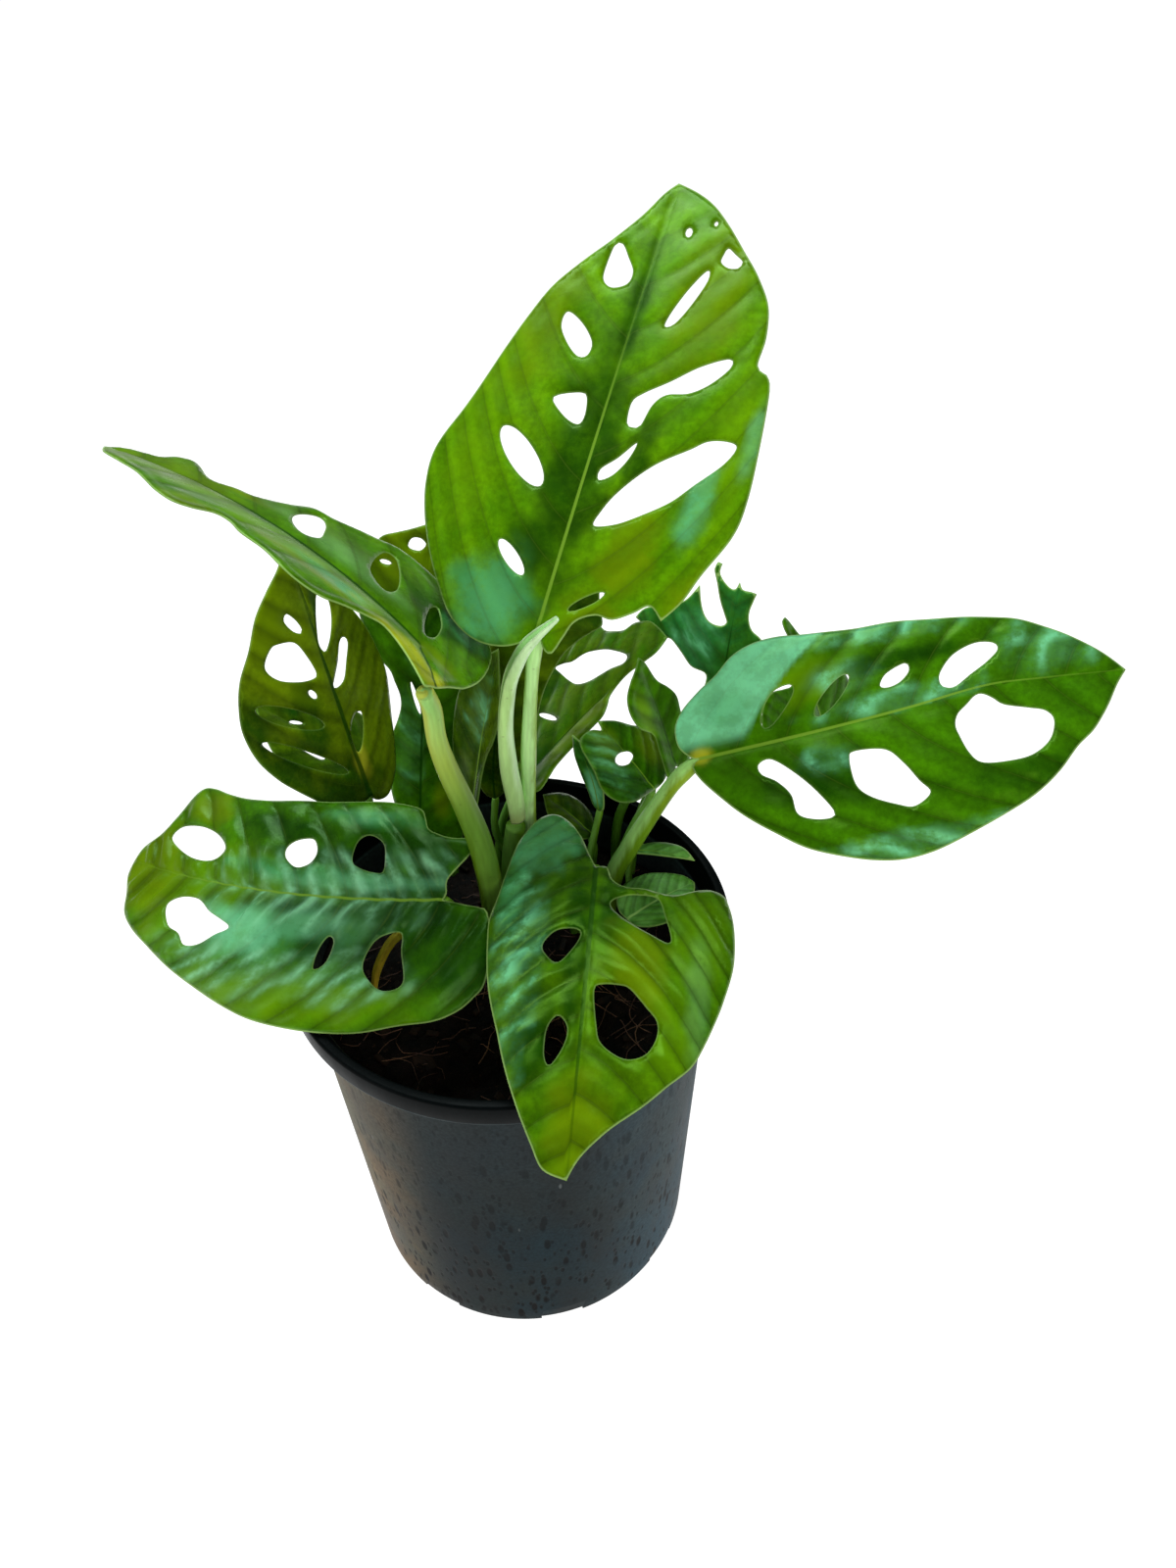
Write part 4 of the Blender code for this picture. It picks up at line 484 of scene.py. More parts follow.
LOOKS = {
    "crown": dict(
        PLAIN, lean=0.5, sweep=0.02, gap=15, quilt=0.6, wave=0.35, main="green", other="lime",
        furrow_shade=0.88, streaks=0.10, line=0.80, rib_half=0.55, rib_end=0.7,
        spots=[("teal_sheen", 3, 16, 18, 14), ("teal_sheen", 42, -33, 15, 5), ("gold", 24, -19, 18, 9),
               ("sky_sheen", 2, 15, 12, 9, 0.22), ("sky_sheen", 43, -33, 13, 4, 0.4), ("sky_sheen", 62, -43, 12, 3, 0.3),
               ("gold", 4, -14, 12, 12), ("deep", 44, 2, 50, 13), ("deep", 20, 8, 16, 9),
               ("fresh", 60, -38, 30, 9, 0.5), ("gold", 100, -20, 30, 14, 0.8),
               ("fresh", 60, 34, 40, 10, 0.6), ("deep", 92, 0, 26, 4), ("gold", 88, 24, 26, 9, 0.7),
               ("gold", 12, -40, 16, 8), ("deep", 46, -14, 20, 5)]),
    "right": dict(
        PLAIN, lean=0.5, sweep=0.018, gap=15, quilt=1.1, wave=0.4, main="green", other="forest",
        rib=[(0, 0), (30, 0.4), (60, 1.6), (85, 3.6), (100, 2.6), (126, 0)],
        rib_half=0.6, rib_end=1.0, base_sheen=13.5, gleam=0.75, line=0.75, streaks=0.12,
        spots=[("glint", 60, 5, 30, 4), ("glint", 46, 15, 12, 6), ("glint", 106, 12, 20, 9),
               ("glint", 66, 28, 34, 5), ("glint", 48, -38, 22, 5), ("glint", 78, -38, 22, 4),
               ("glint", 36, -9, 10, 5), ("yellow", 1, 1, 4, 3), ("deep", 92, -26, 30, 8, 0.7),
               ("teal_sheen", 11, 13, 9, 9), ("fresh", 34, 16, 18, 10), ("deep", 34, -14, 22, 10),
               ("deep", 60, 17, 30, 4)]),
    "front": dict(
        PLAIN, lean=0.4, sweep=0.02, gap=12, quilt=1.7, pucker=0.2, wave=0.5, main="olive_green",
        other="forest", rib_tone="deep", rib_half=0.9, rib_end=1.0, streaks=0.10, line=0.7,
        spots=[("teal_sheen", -13, -17, 18, 13), ("sky_sheen", -12, -18, 17, 12, 0.42), ("teal_sheen", 8, -24, 22, 5),
               ("glint", 36, -20, 40, 8), ("pale", 46, 31, 24, 4, 0.5), ("fresh", 26, 32, 24, 9, 0.6),
               ("fresh", 56, 24, 22, 9, 0.6), ("gold", 40, 14, 24, 10), ("gold", 84, 2, 18, 12),
               ("deep", 26, -4, 46, 5), ("deep", 16, -18, 34, 12), ("deep", 12, 6, 22, 5),
               ("deep", 60, -12, 20, 8)]),
    "low": dict(
        PLAIN, lean=0.35, sweep=0.012, gap=13, quilt=1.9, pucker=0.9, wave=0.5, main="green", other="forest",
        rib_half=0.5, rib_end=1.0, folds=2, line=0.75, gleam=0.75, shine="glint_white", gloss=(0.50, 1.0, 0.35),
        spots=[("glint", 40, 0, 40, 15), ("glint", 28, 24, 22, 10), ("glint", 60, 24, 26, 10),
               ("sky_sheen", 28, -5, 34, 3, 0.4), ("sky_sheen", 50, 10, 34, 7, 0.3), ("glint", 24, -8, 34, 9),
               ("teal_sheen", 22, -26, 24, 4, 0.5), ("deep", 16, -17, 34, 14), ("sky_sheen", 30, -27, 18, 3, 0.25),
               ("sky_sheen", 60, 13, 17, 9, 0.9), ("teal_sheen", 60, 14, 26, 10, 0.8), ("teal_sheen", 50, -7, 30, 3),
               ("deep", 10, 6, 26, 26), ("deep", 40, -13, 26, 4), ("deep", 48, 4, 34, 4),
               ("fresh", 78, 6, 28, 24), ("fresh", 40, 32, 44, 9), ("deep", 34, 14, 20, 8),
               ("deep", 56, -20, 20, 6), ("gold", 100, 2, 16, 22), ("gold", 88, -24, 12, 8),
               ("deep", -8, 18, 14, 20), ("deep", 4, -8, 14, 12)]),
    "wing": dict(
        PLAIN, lean=0.6, sweep=0.012, gap=17, quilt=0.35, furrow_shade=0.86, wave=0.15, main="green",
        other="olive_green", line=0.72, rib=[(-12, 15), (-9, 10), (-4, 5), (1, 1.4), (8, 0), (100, 0)],
        rib_tone="deep", rib_half=0.7, rib_end=1.0,
        spots=[("grey_sheen", 44, -13, 40, 7, 0.8), ("deep", 10, -8, 16, 12, 0.5), ("fresh", 40, 10, 42, 8),
               ("pale", 32, -9, 24, 6, 0.7), ("gold", 84, 2, 30, 13, 0.7), ("deep", 62, 2, 40, 4, 0.5),
               ("teal_sheen", 24, 10, 18, 4), ("yellow", 2, 10, 17, 5), ("yellow", -8, 13, 10, 8),
               ("gold", -5, 1, 9, 5), ("deep", 2, -18, 18, 10), ("teal_sheen", -5, -22, 9, 6),
               ("gold", 60, 24, 12, 8), ("gold", 66, -7, 12, 3), ("gold", 30, 14, 20, 3)]),
    "back": dict(
        SHADED, lean=0.5, sweep=0.015, gap=11, quilt=0.6, wave=0.3, main="khaki", other="olive",
        rib_tone="deep", rib_half=1.1, rib_end=1.0,
        spots=[("yellow", 13, -2, 8, 4), ("deep", 4, 10, 24, 20), ("deep", 38, 33, 26, 8),
               ("deep", 22, 24, 16, 12), ("gold", 60, 14, 24, 12), ("deep", 34, 12, 22, 6),
               ("deep", 60, -4, 16, 3)]),
    "rear": dict(SHADED, lean=0.6, sweep=0.015, gap=10, quilt=0.5, wave=0.3, main="olive", other="deep"),
    "tall": dict(
        SHADED, lean=0.6, sweep=0.015, gap=12, quilt=0.4, wave=0.5, main="deep", other="green",
        rib_tone="deep", rib_half=0.5,
        spots=[("gold", 98, 8, 20, 18), ("gold", 12, -8, 8, 4), ("glint", 36, 4, 24, 6, 0.5)]),
    "mid": dict(
        SHADED, lean=0.8, sweep=0.015, gap=11, quilt=0.6, wave=0.4, main="olive", other="deep",
        spots=[("glint", 40, 2, 12, 6)]),
    "shade": dict(
        SHADED, lean=0.6, sweep=0.012, gap=12, quilt=0.9, wave=0.6, main="olive", other="forest",
        rib_tone="deep", spots=[("gold", 34, -4, 20, 5), ("deep", 22, 34, 24, 18), ("deep", 14, 2, 12, 14)]),
    "nook": dict(
        SHADED, lean=0.7, sweep=0.012, gap=12, quilt=0.5, wave=0.3, main="deep", other="olive",
        rib_tone="deep"),
    "lobed": dict(
        PLAIN, lean=0.6, sweep=0.02, gap=9, quilt=0.6, wave=0.4, main="sea", other="forest",
        rib_tone="deep", spots=[("glint", 20, 12, 14, 10)]),
    "holed": dict(
        SHADED, lean=0.7, sweep=0.02, gap=7, quilt=0.8, wave=0.5, main="deep", other="green", rib_half=0.3,
        spots=[("glint", 18, 8, 14, 8, 0.6), ("gold", 10, -10, 9, 7), ("gold", 24, 4, 8, 7, 0.6)]),
    "small": dict(
        SHADED, lean=0.8, sweep=0.02, gap=8, quilt=0.4, wave=0.3, main="forest", other="green",
        rib_tone="deep", rib_half=0.3, spots=[("fresh", 22, 7, 12, 4)]),
    "slim": dict(
        PLAIN, lean=1.2, sweep=0.02, gap=7, quilt=0.3, wave=0.2, main="sea", other="green", rib_half=0.3,
        spots=[("sky_sheen", 10, 0, 8, 3)]),
    "under": dict(
        SHADED, lean=0.7, sweep=0.02, gap=6, quilt=0.4, wave=0.3, main="olive", other="deep", rib_half=0.3),
    "blade": dict(
        PLAIN, lean=1.2, sweep=0.02, gap=6, quilt=0.3, wave=0.3, main="pale", other="green", rib_half=0.3),
    "curled": dict(
        PLAIN, lean=1.0, sweep=0.03, gap=4.5, quilt=0.7, wave=0.4, main="pale", other="green",
        rib_tone="margin", rib_half=0.5, rib_end=0.9),
    "far": dict(SHADED, lean=0.7, sweep=0.02, gap=9, quilt=0.4, wave=0.3, main="forest", other="green"),
}
# How strongly each kind of patch covers the ground, in the order in which they are laid on. Deep is a darker
# green that partly stands in for shade, and grey_sheen and teal_sheen are painted sheen. The painted
# sky_sheen and glint patches come after these.
SPOT_KINDS = {"deep": 0.88, "fresh": 0.75, "gold": 0.8, "grey_sheen": 0.6, "pale": 0.6, "teal_sheen": 0.85,
              "yellow": 0.85}

# Linear colours. Warmer and cooler are tints.
PALETTE = {
    "green": (0.056, 0.200, 0.0010),
    "lime": (0.125, 0.300, 0.0010),
    "forest": (0.032, 0.130, 0.0010),
    "olive_green": (0.080, 0.190, 0.0010),
    "olive": (0.080, 0.140, 0.0015),
    "khaki": (0.170, 0.260, 0.0030),
    # Deep is a dark green; laid on in spots it is partly painted shade.
    "deep": (0.005, 0.045, 0.0010),
    "sea": (0.022, 0.200, 0.0400),
    "pale": (0.200, 0.460, 0.1300),
    "gold": (0.140, 0.225, 0.0010),
    "yellow": (0.420, 0.420, 0.0200),
    # Colours of the painted sheen and painted glints on the leaves.
    "grey_sheen": (0.095, 0.160, 0.0400),
    "teal_sheen": (0.065, 0.330, 0.1000),
    "sky_sheen": (0.235, 0.770, 0.4000),
    "glint_white": (0.300, 0.720, 0.4000),
    "fresh": (0.140, 0.310, 0.0010),
    "rib": (0.200, 0.370, 0.0300),
    "margin": (0.360, 0.560, 0.1600),
    "underside": (0.150, 0.290, 0.0600),
    "underside_dark": (0.085, 0.190, 0.0300),
    "stalk_foot": (0.200, 0.200, 0.0500),
    "plastic": (0.010, 0.018, 0.0200),
    # Painted warm and cool reflections on the front of the pot's wall.
    "warm_reflection": (0.170, 0.135, 0.0780),
    "cool_reflection": (0.034, 0.056, 0.0640),
    "upper_wall": (0.035, 0.042, 0.0450),
    "warmer": (1.150, 0.980, 0.9000),
    "cooler": (0.840, 0.980, 1.1000),
    "pit": (0.0003, 0.0005, 0.0006),
    "scuff": (0.250, 0.270, 0.2700),
    "lip": (0.0018, 0.0028, 0.0030),
    "pale_lip_line": (0.030, 0.048, 0.0520),
    "peat": (0.002, 0.002, 0.0018),
    "humus": (0.012, 0.007, 0.0050),
    "crumb": (0.080, 0.040, 0.0200),
    "bark": (0.005, 0.004, 0.0030),
    "bark_brown": (0.024, 0.012, 0.0070),
    "coir": (0.060, 0.020, 0.0080),
    "bleached_coir": (0.300, 0.140, 0.0700),
    "floor": (0.260, 0.260, 0.2600),
    "floor_pale": (0.290, 0.290, 0.2900),
}


def opaque(rgb):
    return (*rgb, 1.0)


def colour(name):
    return opaque(PALETTE[name])


class Nodes:
    """A material's node tree, with short ways to add the nodes that the materials here are made of."""

    def __init__(self, name):
        self.material = bpy.data.materials.new(name)
        self.material.use_nodes = True
        self.tree = self.material.node_tree
        self.shader = self.tree.nodes["Principled BSDF"]
        self.place = self.add("ShaderNodeTexCoord", "Object", {})

    def add(self, kind, output, inputs, **settings):
        """One output of a new node. Inputs are given by socket name or number, and settings by name."""
        node = self.tree.nodes.new(kind)
        for key, value in settings.items():
            setattr(node, key, value)
        for key, value in inputs.items():
            self.put(value, node.inputs[key])
        return node.outputs[output]

    def put(self, value, socket):
        """A socket gets either another node's output or a plain value."""
        if isinstance(value, bpy.types.NodeSocket):
            self.tree.links.new(value, socket)
        else:
            socket.default_value = value

    def attribute(self, name):
        return self.add("ShaderNodeAttribute", "Fac", {}, attribute_name=name)

    def math(self, operation, first, second=0.0):
        return self.add("ShaderNodeMath", 0, {0: first, 1: second}, operation=operation)

    def plus(self, first, second):
        return self.math("ADD", first, second)

    def minus(self, first, second):
        return self.math("SUBTRACT", first, second)

    def times(self, first, second):
        return self.math("MULTIPLY", first, second)

    def smooth(self, value, low, high, start=0.0, end=1.0):
        """A soft step from start to end as the value goes from low to high."""
        inputs = {"Value": value, "From Min": low, "From Max": high, "To Min": start, "To Max": end}
        return self.add("ShaderNodeMapRange", "Result", inputs, interpolation_type="SMOOTHSTEP")

    def mix(self, share, first, second, blend="MIX"):
        # Sockets 6 and 7 and output 2 are the ones for colours.
        inputs = {"Factor": share, 6: first, 7: second}
        return self.add("ShaderNodeMix", 2, inputs, data_type="RGBA", blend_type=blend)

    def shaded(self, ground, *shades):
        """The ground multiplied by each shade or tint in turn."""
        for shade in shades:
            ground = self.mix(1.0, ground, shade, "MULTIPLY")
        return ground

    def coordinate(self, axis):
        """The object's own X, Y or Z, in metres."""
        return self.add("ShaderNodeSeparateXYZ", axis, {0: self.place})

    def stretched(self, across, upright):
        """The object's own coordinates, with one scale for X and Y and another for Z."""
        inputs = {"Vector": self.place, "Scale": (across, across, upright)}
        return self.add("ShaderNodeMapping", "Vector", inputs)

    def noise(self, scale, detail=3.0, roughness=0.5, vector=None):
        inputs = {"Vector": vector or self.place, "Scale": scale, "Detail": detail, "Roughness": roughness}
        return self.add("ShaderNodeTexNoise", "Fac", inputs)

    def cells(self, scale, vector=None):
        """The distance to the nearest of many scattered points."""
        inputs = {"Vector": vector or self.place, "Scale": scale}
        return self.add("ShaderNodeTexVoronoi", "Distance", inputs, feature="F1")

    def bump(self, height, distance, strength):
        inputs = {"Height": height, "Distance": distance, "Strength": strength}
        return self.add("ShaderNodeBump", "Normal", inputs)

    def finish(self, **inputs):
        for key, value in inputs.items():
            self.put(value, self.shader.inputs[key.replace("_", " ")])
        return self.material


def new_mesh(name, points, faces, finish=None):
    """A mesh from points in metres, with a material if one is given."""
    mesh = bpy.data.meshes.new(name)
    mesh.from_pydata(points, [], [tuple(int(k) for k in face) for face in faces])
    if finish:
        mesh.materials.append(finish)
    return mesh


def new_object(name, data):
    made = bpy.data.objects.new(name, data)
    bpy.context.scene.collection.objects.link(made)
    return made


def new_piece(name, points, faces, finish, slot, node=None, smooth=True, values=None):
    """A piece from points in millimetres, kept within the CAD box, with values per point if there are any."""
    places = np.clip(np.asarray(points, float) * MM, *cad_box)
    mesh = new_mesh(name, places.tolist(), faces, finish)
    for key, numbers in (values or {}).items():
        store = mesh.attributes.new(key, "FLOAT", "POINT")
        store.data.foreach_set("value", np.asarray(numbers, np.float32))
    if smooth:
        mesh.polygons.foreach_set("use_smooth", [True] * len(mesh.polygons))
    piece = new_object(name, mesh)
    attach(piece, "root")
    if node:
        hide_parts(node)
    return piece


def pair(value):
    return value if isinstance(value, tuple) else (value, value)


def turned(axes, number, angle):
    """The three axes, turned about one of them."""
    turn = Matrix.Rotation(angle, 3, axes[number])
    return [turn @ axis for axis in axes]


def midrib(leaf):
    """Points along the midrib, each with its axes: along the rib, to the left and up from the blade."""
    heading, rise, roll = (math.radians(leaf[key]) for key in ("heading", "rise", "roll"))
    along = Vector((math.cos(rise) * math.cos(heading), math.cos(rise) * math.sin(heading), math.sin(rise)))
    level = Vector((-math.sin(heading), math.cos(heading), 0.0))
    left = math.cos(roll) * level + math.sin(roll) * along.cross(level)
    axes = [along, left, along.cross(left)]
    point = Vector(leaf["base"])
    points, frames = [point], [axes]
    half_bend = math.radians(leaf["bend"]) / SPINE_STEPS / 2
    half_sway = math.radians(leaf["sway"]) / SPINE_STEPS / 2
    for _ in range(SPINE_STEPS):
        axes = turned(turned(axes, 1, half_bend), 2, half_sway)
        point = point + axes[0] * leaf["length"] / SPINE_STEPS
        axes = turned(turned(axes, 1, half_bend), 2, half_sway)
        points.append(point)
        frames.append(axes)
    return np.array(points), np.array(frames)


def unit(vectors):
    return vectors / np.linalg.norm(vectors, axis=-1, keepdims=True)


def laid_out(leaf, s, t):
    """Where points of the flat leaf lie in space, and the way up from the blade at each."""
    points, frames = midrib(leaf)
    place = np.clip(s * SPINE_STEPS / leaf["length"], 0.0, SPINE_STEPS - 1e-9)
    step = place.astype(int)
    share = (place - step)[:, None]
    point = points[step] * (1 - share) + points[step + 1] * share
    axes = frames[step] * (1 - share[..., None]) + frames[step + 1] * share[..., None]
    along, left, up = (unit(axes[:, k]) for k in range(3))
    beyond = s - np.clip(s, 0.0, leaf["length"])
    fold, curl = np.radians(pair(leaf["fold"])), np.radians(pair(leaf["curl"]))
    side = np.where(t >= 0, 0, 1)
    rate = curl[side] / (leaf["width"] / 2)
    tilt = fold[side] - rate * np.abs(t)
    across = (np.sin(fold[side]) - np.sin(tilt)) / rate
    lift = (np.cos(tilt) - np.cos(fold[side])) / rate
    outward = np.where(t >= 0, 1.0, -1.0)[:, None] * left
    normal = unit(up * np.cos(tilt)[:, None] - outward * np.sin(tilt)[:, None])
    return point + along * beyond[:, None] + outward * across[:, None] + up * lift[:, None], normal


def spline_weights(u):
    """How much each of four points in a row counts, a share u of the way from the second to the third."""
    return ((-u + 2 * u * u - u ** 3) / 2, (2 - 5 * u * u + 3 * u ** 3) / 2,
            (u + 4 * u * u - 3 * u ** 3) / 2, (u ** 3 - u * u) / 2)


def rounded(points, corners, step, closed=False):
    """A smooth line through the points, sharp at its ends and at each corner, sampled about a step apart."""
    count = len(points)
    spans = count if closed else count - 1
    line = []
    for k in range(spans):
        start, end = points[k], points[(k + 1) % count]
        before = points[k - 1] if closed or k > 0 else start
        after = points[(k + 2) % count] if closed or k < spans - 1 else end
        before = start if start in corners else before
        after = end if end in corners else after
        parts = max(1, round(math.dist(start, end) / step))
        for part in range(parts):
            weights = spline_weights(part / parts)
            line.append(tuple(sum(w * p[axis] for w, p in zip(weights, (before, start, end, after)))
                              for axis in range(len(start))))
    return line if closed else line + [points[-1]]


def seat_of(leaf):
    """Where on the flat leaf its stalk meets it."""
    return leaf.get("seat", (0.0, 0.0))


def leaf_loops(leaf):
    """The flat leaf's outline and its holes, as closed lines."""
    sinus, tip = seat_of(leaf), (leaf["length"], 0.0)
    corners = leaf.get("corners", [])
    near = rounded([sinus] + leaf["left"] + [tip], corners, OUTLINE_STEP)
    far = rounded([sinus] + leaf["right"] + [tip], corners, OUTLINE_STEP)
    outline = near + far[-2:0:-1]
    return [outline] + [rounded(hole, [], HOLE_STEP, closed=True) for hole in leaf["holes"]]


def inside(points, loop):
    """Which flat points lie inside a closed line."""
    x, y = points[:, :1], points[:, 1:]
    a = np.array(loop)
    b = np.roll(a, -1, axis=0)
    spans = (a[:, 1] > y) != (b[:, 1] > y)
    rise = np.where(b[:, 1] == a[:, 1], 1.0, b[:, 1] - a[:, 1])
    crossing = a[:, 0] + (y - a[:, 1]) * (b[:, 0] - a[:, 0]) / rise
    return np.sum(spans & (x < crossing), axis=1) % 2 == 1


def distance_to(points, loop):
    """The shortest way from each flat point to a closed line."""
    a = np.array(loop)
    run = np.roll(a, -1, axis=0) - a
    off = points[:, None, :] - a
    share = np.clip(np.sum(off * run, axis=2) / np.sum(run * run, axis=1), 0.0, 1.0)
    return np.min(np.linalg.norm(off - share[..., None] * run, axis=2), axis=1)


def filling(loops, step, margin):
    """Points of a staggered grid that lie inside the first loop and outside the others."""
    low, high = np.min(loops[0], axis=0), np.max(loops[0], axis=0)
    row_step = step * math.sqrt(3) / 2
    rows = np.arange(math.floor(low[1] / row_step), math.ceil(high[1] / row_step) + 1)
    columns = np.arange(0, int((high[0] - low[0]) / step) + 2)
    grid = np.array([(low[0] + (c + 0.5 * (r % 2)) * step, r * row_step) for r in rows for c in columns])
    grid = grid[inside(grid, loops[0])]
    for hole in loops[1:]:
        grid = grid[~inside(grid, hole)]
    for loop in loops:
        grid = grid[distance_to(grid, loop) > margin]
    return grid


def triangulated(loops, extra):
    """Triangles that fill the first loop without the others, as points and faces."""
    points, edges = [], []
    for loop in loops:
        first = len(points)
        points += loop
        edges += [(first + k, first + (k + 1) % len(loop)) for k in range(len(loop))]
    points += [tuple(p) for p in extra]
    flat, _, faces, _, _, _ = delaunay_2d_cdt([Vector(p) for p in points], edges, [], 0, 1e-5)
    flat = np.array([tuple(p) for p in flat])
    faces = np.array([tuple(f) for f in faces])
    middles = flat[faces].mean(axis=1)
    kept = inside(middles, loops[0])
    for hole in loops[1:]:
        kept &= ~inside(middles, hole)
    faces = faces[kept]
    a, b, c = flat[faces[:, 0]], flat[faces[:, 1]], flat[faces[:, 2]]
    area = (b[:, 0] - a[:, 0]) * (c[:, 1] - a[:, 1]) - (b[:, 1] - a[:, 1]) * (c[:, 0] - a[:, 0])
    faces[area < 0] = faces[area < 0][:, ::-1]
    return flat, faces


def point_normals(points, faces):
    """Smooth normals of a triangle mesh, at its points."""
    a, b, c = (points[faces[:, k]] for k in range(3))
    across = np.cross(b - a, c - a)
    normals = np.zeros_like(points)
    for k in range(3):
        np.add.at(normals, faces[:, k], across)
    return unit(normals)


def closed_sheet(upper, lower, faces):
    """A thin closed solid from one set of triangles, alike on both faces."""
    shift = len(upper)
    seen = {(f[k], f[(k + 1) % 3]) for f in faces.tolist() for k in range(3)}
    solid = faces.tolist() + (faces[:, ::-1] + shift).tolist()
    for a, b in sorted(seen):
        if (b, a) not in seen:
            solid += [(b, a, a + shift), (b, a + shift, b + shift)]
    return np.vstack([upper, lower]), solid


def soft_step(value, low, high):
    share = np.clip((value - low) / (high - low), 0.0, 1.0)
    return share * share * (3 - 2 * share)


def lumps(points, size, seed):
    """Soft rolling values between about -1 and 1, from a few seeded waves about a size across."""
    dice = np.random.default_rng(seed)
    total = np.zeros(len(points))
    waves = 7
    for _ in range(waves):
        way = unit(dice.normal(size=points.shape[1]))
        total += np.sin(points @ way * 2 * math.pi / (size * dice.uniform(0.7, 1.6)) + dice.uniform(0, 6.3))
    return total / math.sqrt(waves)


def root_of(look, s, t):
    """Where the side vein through a point of the flat leaf leaves the midrib."""
    return s - look["lean"] * abs(t) - look["sweep"] * t * t


def vein_roots(leaf, look, side):
    """Where the side veins of one half leave the midrib: between its holes, and evenly where it has none."""
    holes = [hole for hole in leaf["holes"] if np.mean([p[1] for p in hole]) * side > 0]
    marks = sorted(float(np.mean([root_of(look, *p) for p in hole])) for hole in holes)
    roots = [(a + b) / 2 for a, b in zip(marks, marks[1:]) if b - a > look["gap"] / 2]
    roots = roots or [leaf["length"] * 0.4]
    filled = [roots[0]]
    for after in roots[1:]:
        start = filled[-1]
        parts = max(1, round((after - start) / look["gap"]))
        filled += [start + (after - start) * k / parts for k in range(1, parts + 1)]
    while filled[0] > -VEINS_BEFORE:
        filled.insert(0, filled[0] - look["gap"])
    while filled[-1] < leaf["length"] + VEINS_BEYOND:
        filled.append(filled[-1] + look["gap"])
    return filled


def vein_phase(leaf, look, s, t):
    """A number that is whole on each side vein and halfway in the middle of each panel."""
    root = root_of(look, s, t)
    phase = np.zeros(len(s))
    for side in (1, -1):
        roots = vein_roots(leaf, look, side)
        here = t >= 0 if side > 0 else t < 0
        phase[here] = np.interp(root[here], roots, np.arange(len(roots)))
    return phase


def rib_offset(look, s):
    """How far to the left of the leaf's straight axis the midrib runs, at each place along it."""
    line = np.array(rounded(look["rib"], [], 1.0))
    return np.interp(s, line[:, 0], line[:, 1])


def relief(leaf, look, flat, across, margin, rim, phase, seed):
    """How far the surface stands up from the smooth blade: midrib groove, panels, folds, margin and waves."""
    reach = np.abs(across)
    share = np.clip(flat[:, 0] / leaf["length"], 0.0, 1.0)
    groove = -GROOVE_DEPTH * np.exp(-(reach / (1.3 - 0.7 * share)) ** 2) * soft_step(margin, 0.0, 4.0)
    away = np.abs(phase - np.round(phase)) * 2
    panel = 1 - (1 - away) ** 2
    body = soft_step(reach, 0.5, 7.0) * soft_step(rim, 0.0, 4.5)
    unevenness = 0.65 + 0.35 * lumps(flat, 16.0, seed)
    quilting = look["quilt"] * (panel - 0.4) * body * unevenness
    folds = look["pucker"] * np.sin(4 * math.pi * phase) * np.exp(-((reach - 7.0) / 6.0) ** 2)
    folds *= soft_step(rim, 0.0, 2.5)
    marginal = -MARGIN_VEIN_DEPTH * np.exp(-((margin - MARGIN_VEIN_PLACE) / 0.9) ** 2)
    wave = look["wave"] * lumps(flat, 24.0, seed + 50) * soft_step(reach / (leaf["width"] / 2), 0.3, 1.0)
    droop = -EDGE_DROOP * np.exp(-rim / 0.9)
    return groove + quilting + folds + marginal + wave + droop


def spot_values(look, flat, across, phase, seed):
    """For each kind of colour patch, how strongly it shows at each point."""
    values = {kind: np.zeros(len(flat)) for kind in (*SPOT_KINDS, "sky_sheen", "glint")}
    blotchy = 0.12 * lumps(flat, 12.0, seed + 90) + 0.06 * lumps(flat, 5.0, seed + 91)
    # Glints are painted highlights, mostly on one flank of each fold.
    folds = phase * look["folds"] + 0.22 * lumps(flat, 15.0, seed + 70)
    lit_flank = 0.12 + 0.88 * np.exp(-((folds - np.floor(folds) - 0.40) / 0.20) ** 2)
    for kind, s, t, along, wide, *strength in look["spots"]:
        away = np.sqrt(((flat[:, 0] - s) / along) ** 2 + ((flat[:, 1] - t) / wide) ** 2) + blotchy
        shown = (1 - soft_step(away, 0.35, 1.15)) * (strength[0] if strength else 1.0)
        values[kind] = np.maximum(values[kind], shown * lit_flank if kind == "glint" else shown)
    # Painted sky sheen over the left base up to base_sheen, weakened where painted teal sheen lies.
    if look["base_sheen"] is not None:
        past = root_of(look, flat[:, 0], across) - look["base_sheen"]
        base_sheen = soft_step(across, 1.5, 7.0) * (1 - soft_step(past, -1.5, 1.0))
        values["sky_sheen"] = np.maximum(values["sky_sheen"], base_sheen)
    values["sky_sheen"] *= 1 - 0.35 * values["teal_sheen"]
    return values


def panel_tones(phase, across, seed):
    """A tone between 0 and 1 for each panel between two side veins."""
    tones = np.random.default_rng(seed).uniform(0.0, 1.0, 2 * PANEL_TONES)
    return tones[np.floor(phase).astype(int) % PANEL_TONES + np.where(across >= 0, 0, PANEL_TONES)]


class LeafNodes(Nodes):
    """A leaf material's nodes, with the values that the parts of its colouring share."""

    def __init__(self, name):
        super().__init__("leaf_" + name)
        self.along, self.rim, self.phase = (self.attribute(key) for key in ("along", "rim", "phase"))
        across = self.attribute("across")
        self.reach = self.math("ABSOLUTE", across)
        self.to_vein = self.math("PINGPONG", self.phase, 0.5)
        self.mottle = self.noise(130, 5.0, 0.68)
        along_veins = {"X": self.times(self.phase, 2.2), "Y": self.times(self.reach, 0.13),
                       "Z": self.times(self.math("GREATER_THAN", across, 0.0), 7.0)}
        self.streak = self.noise(1.0, 3.0, 0.5, self.add("ShaderNodeCombineXYZ", "Vector", along_veins))


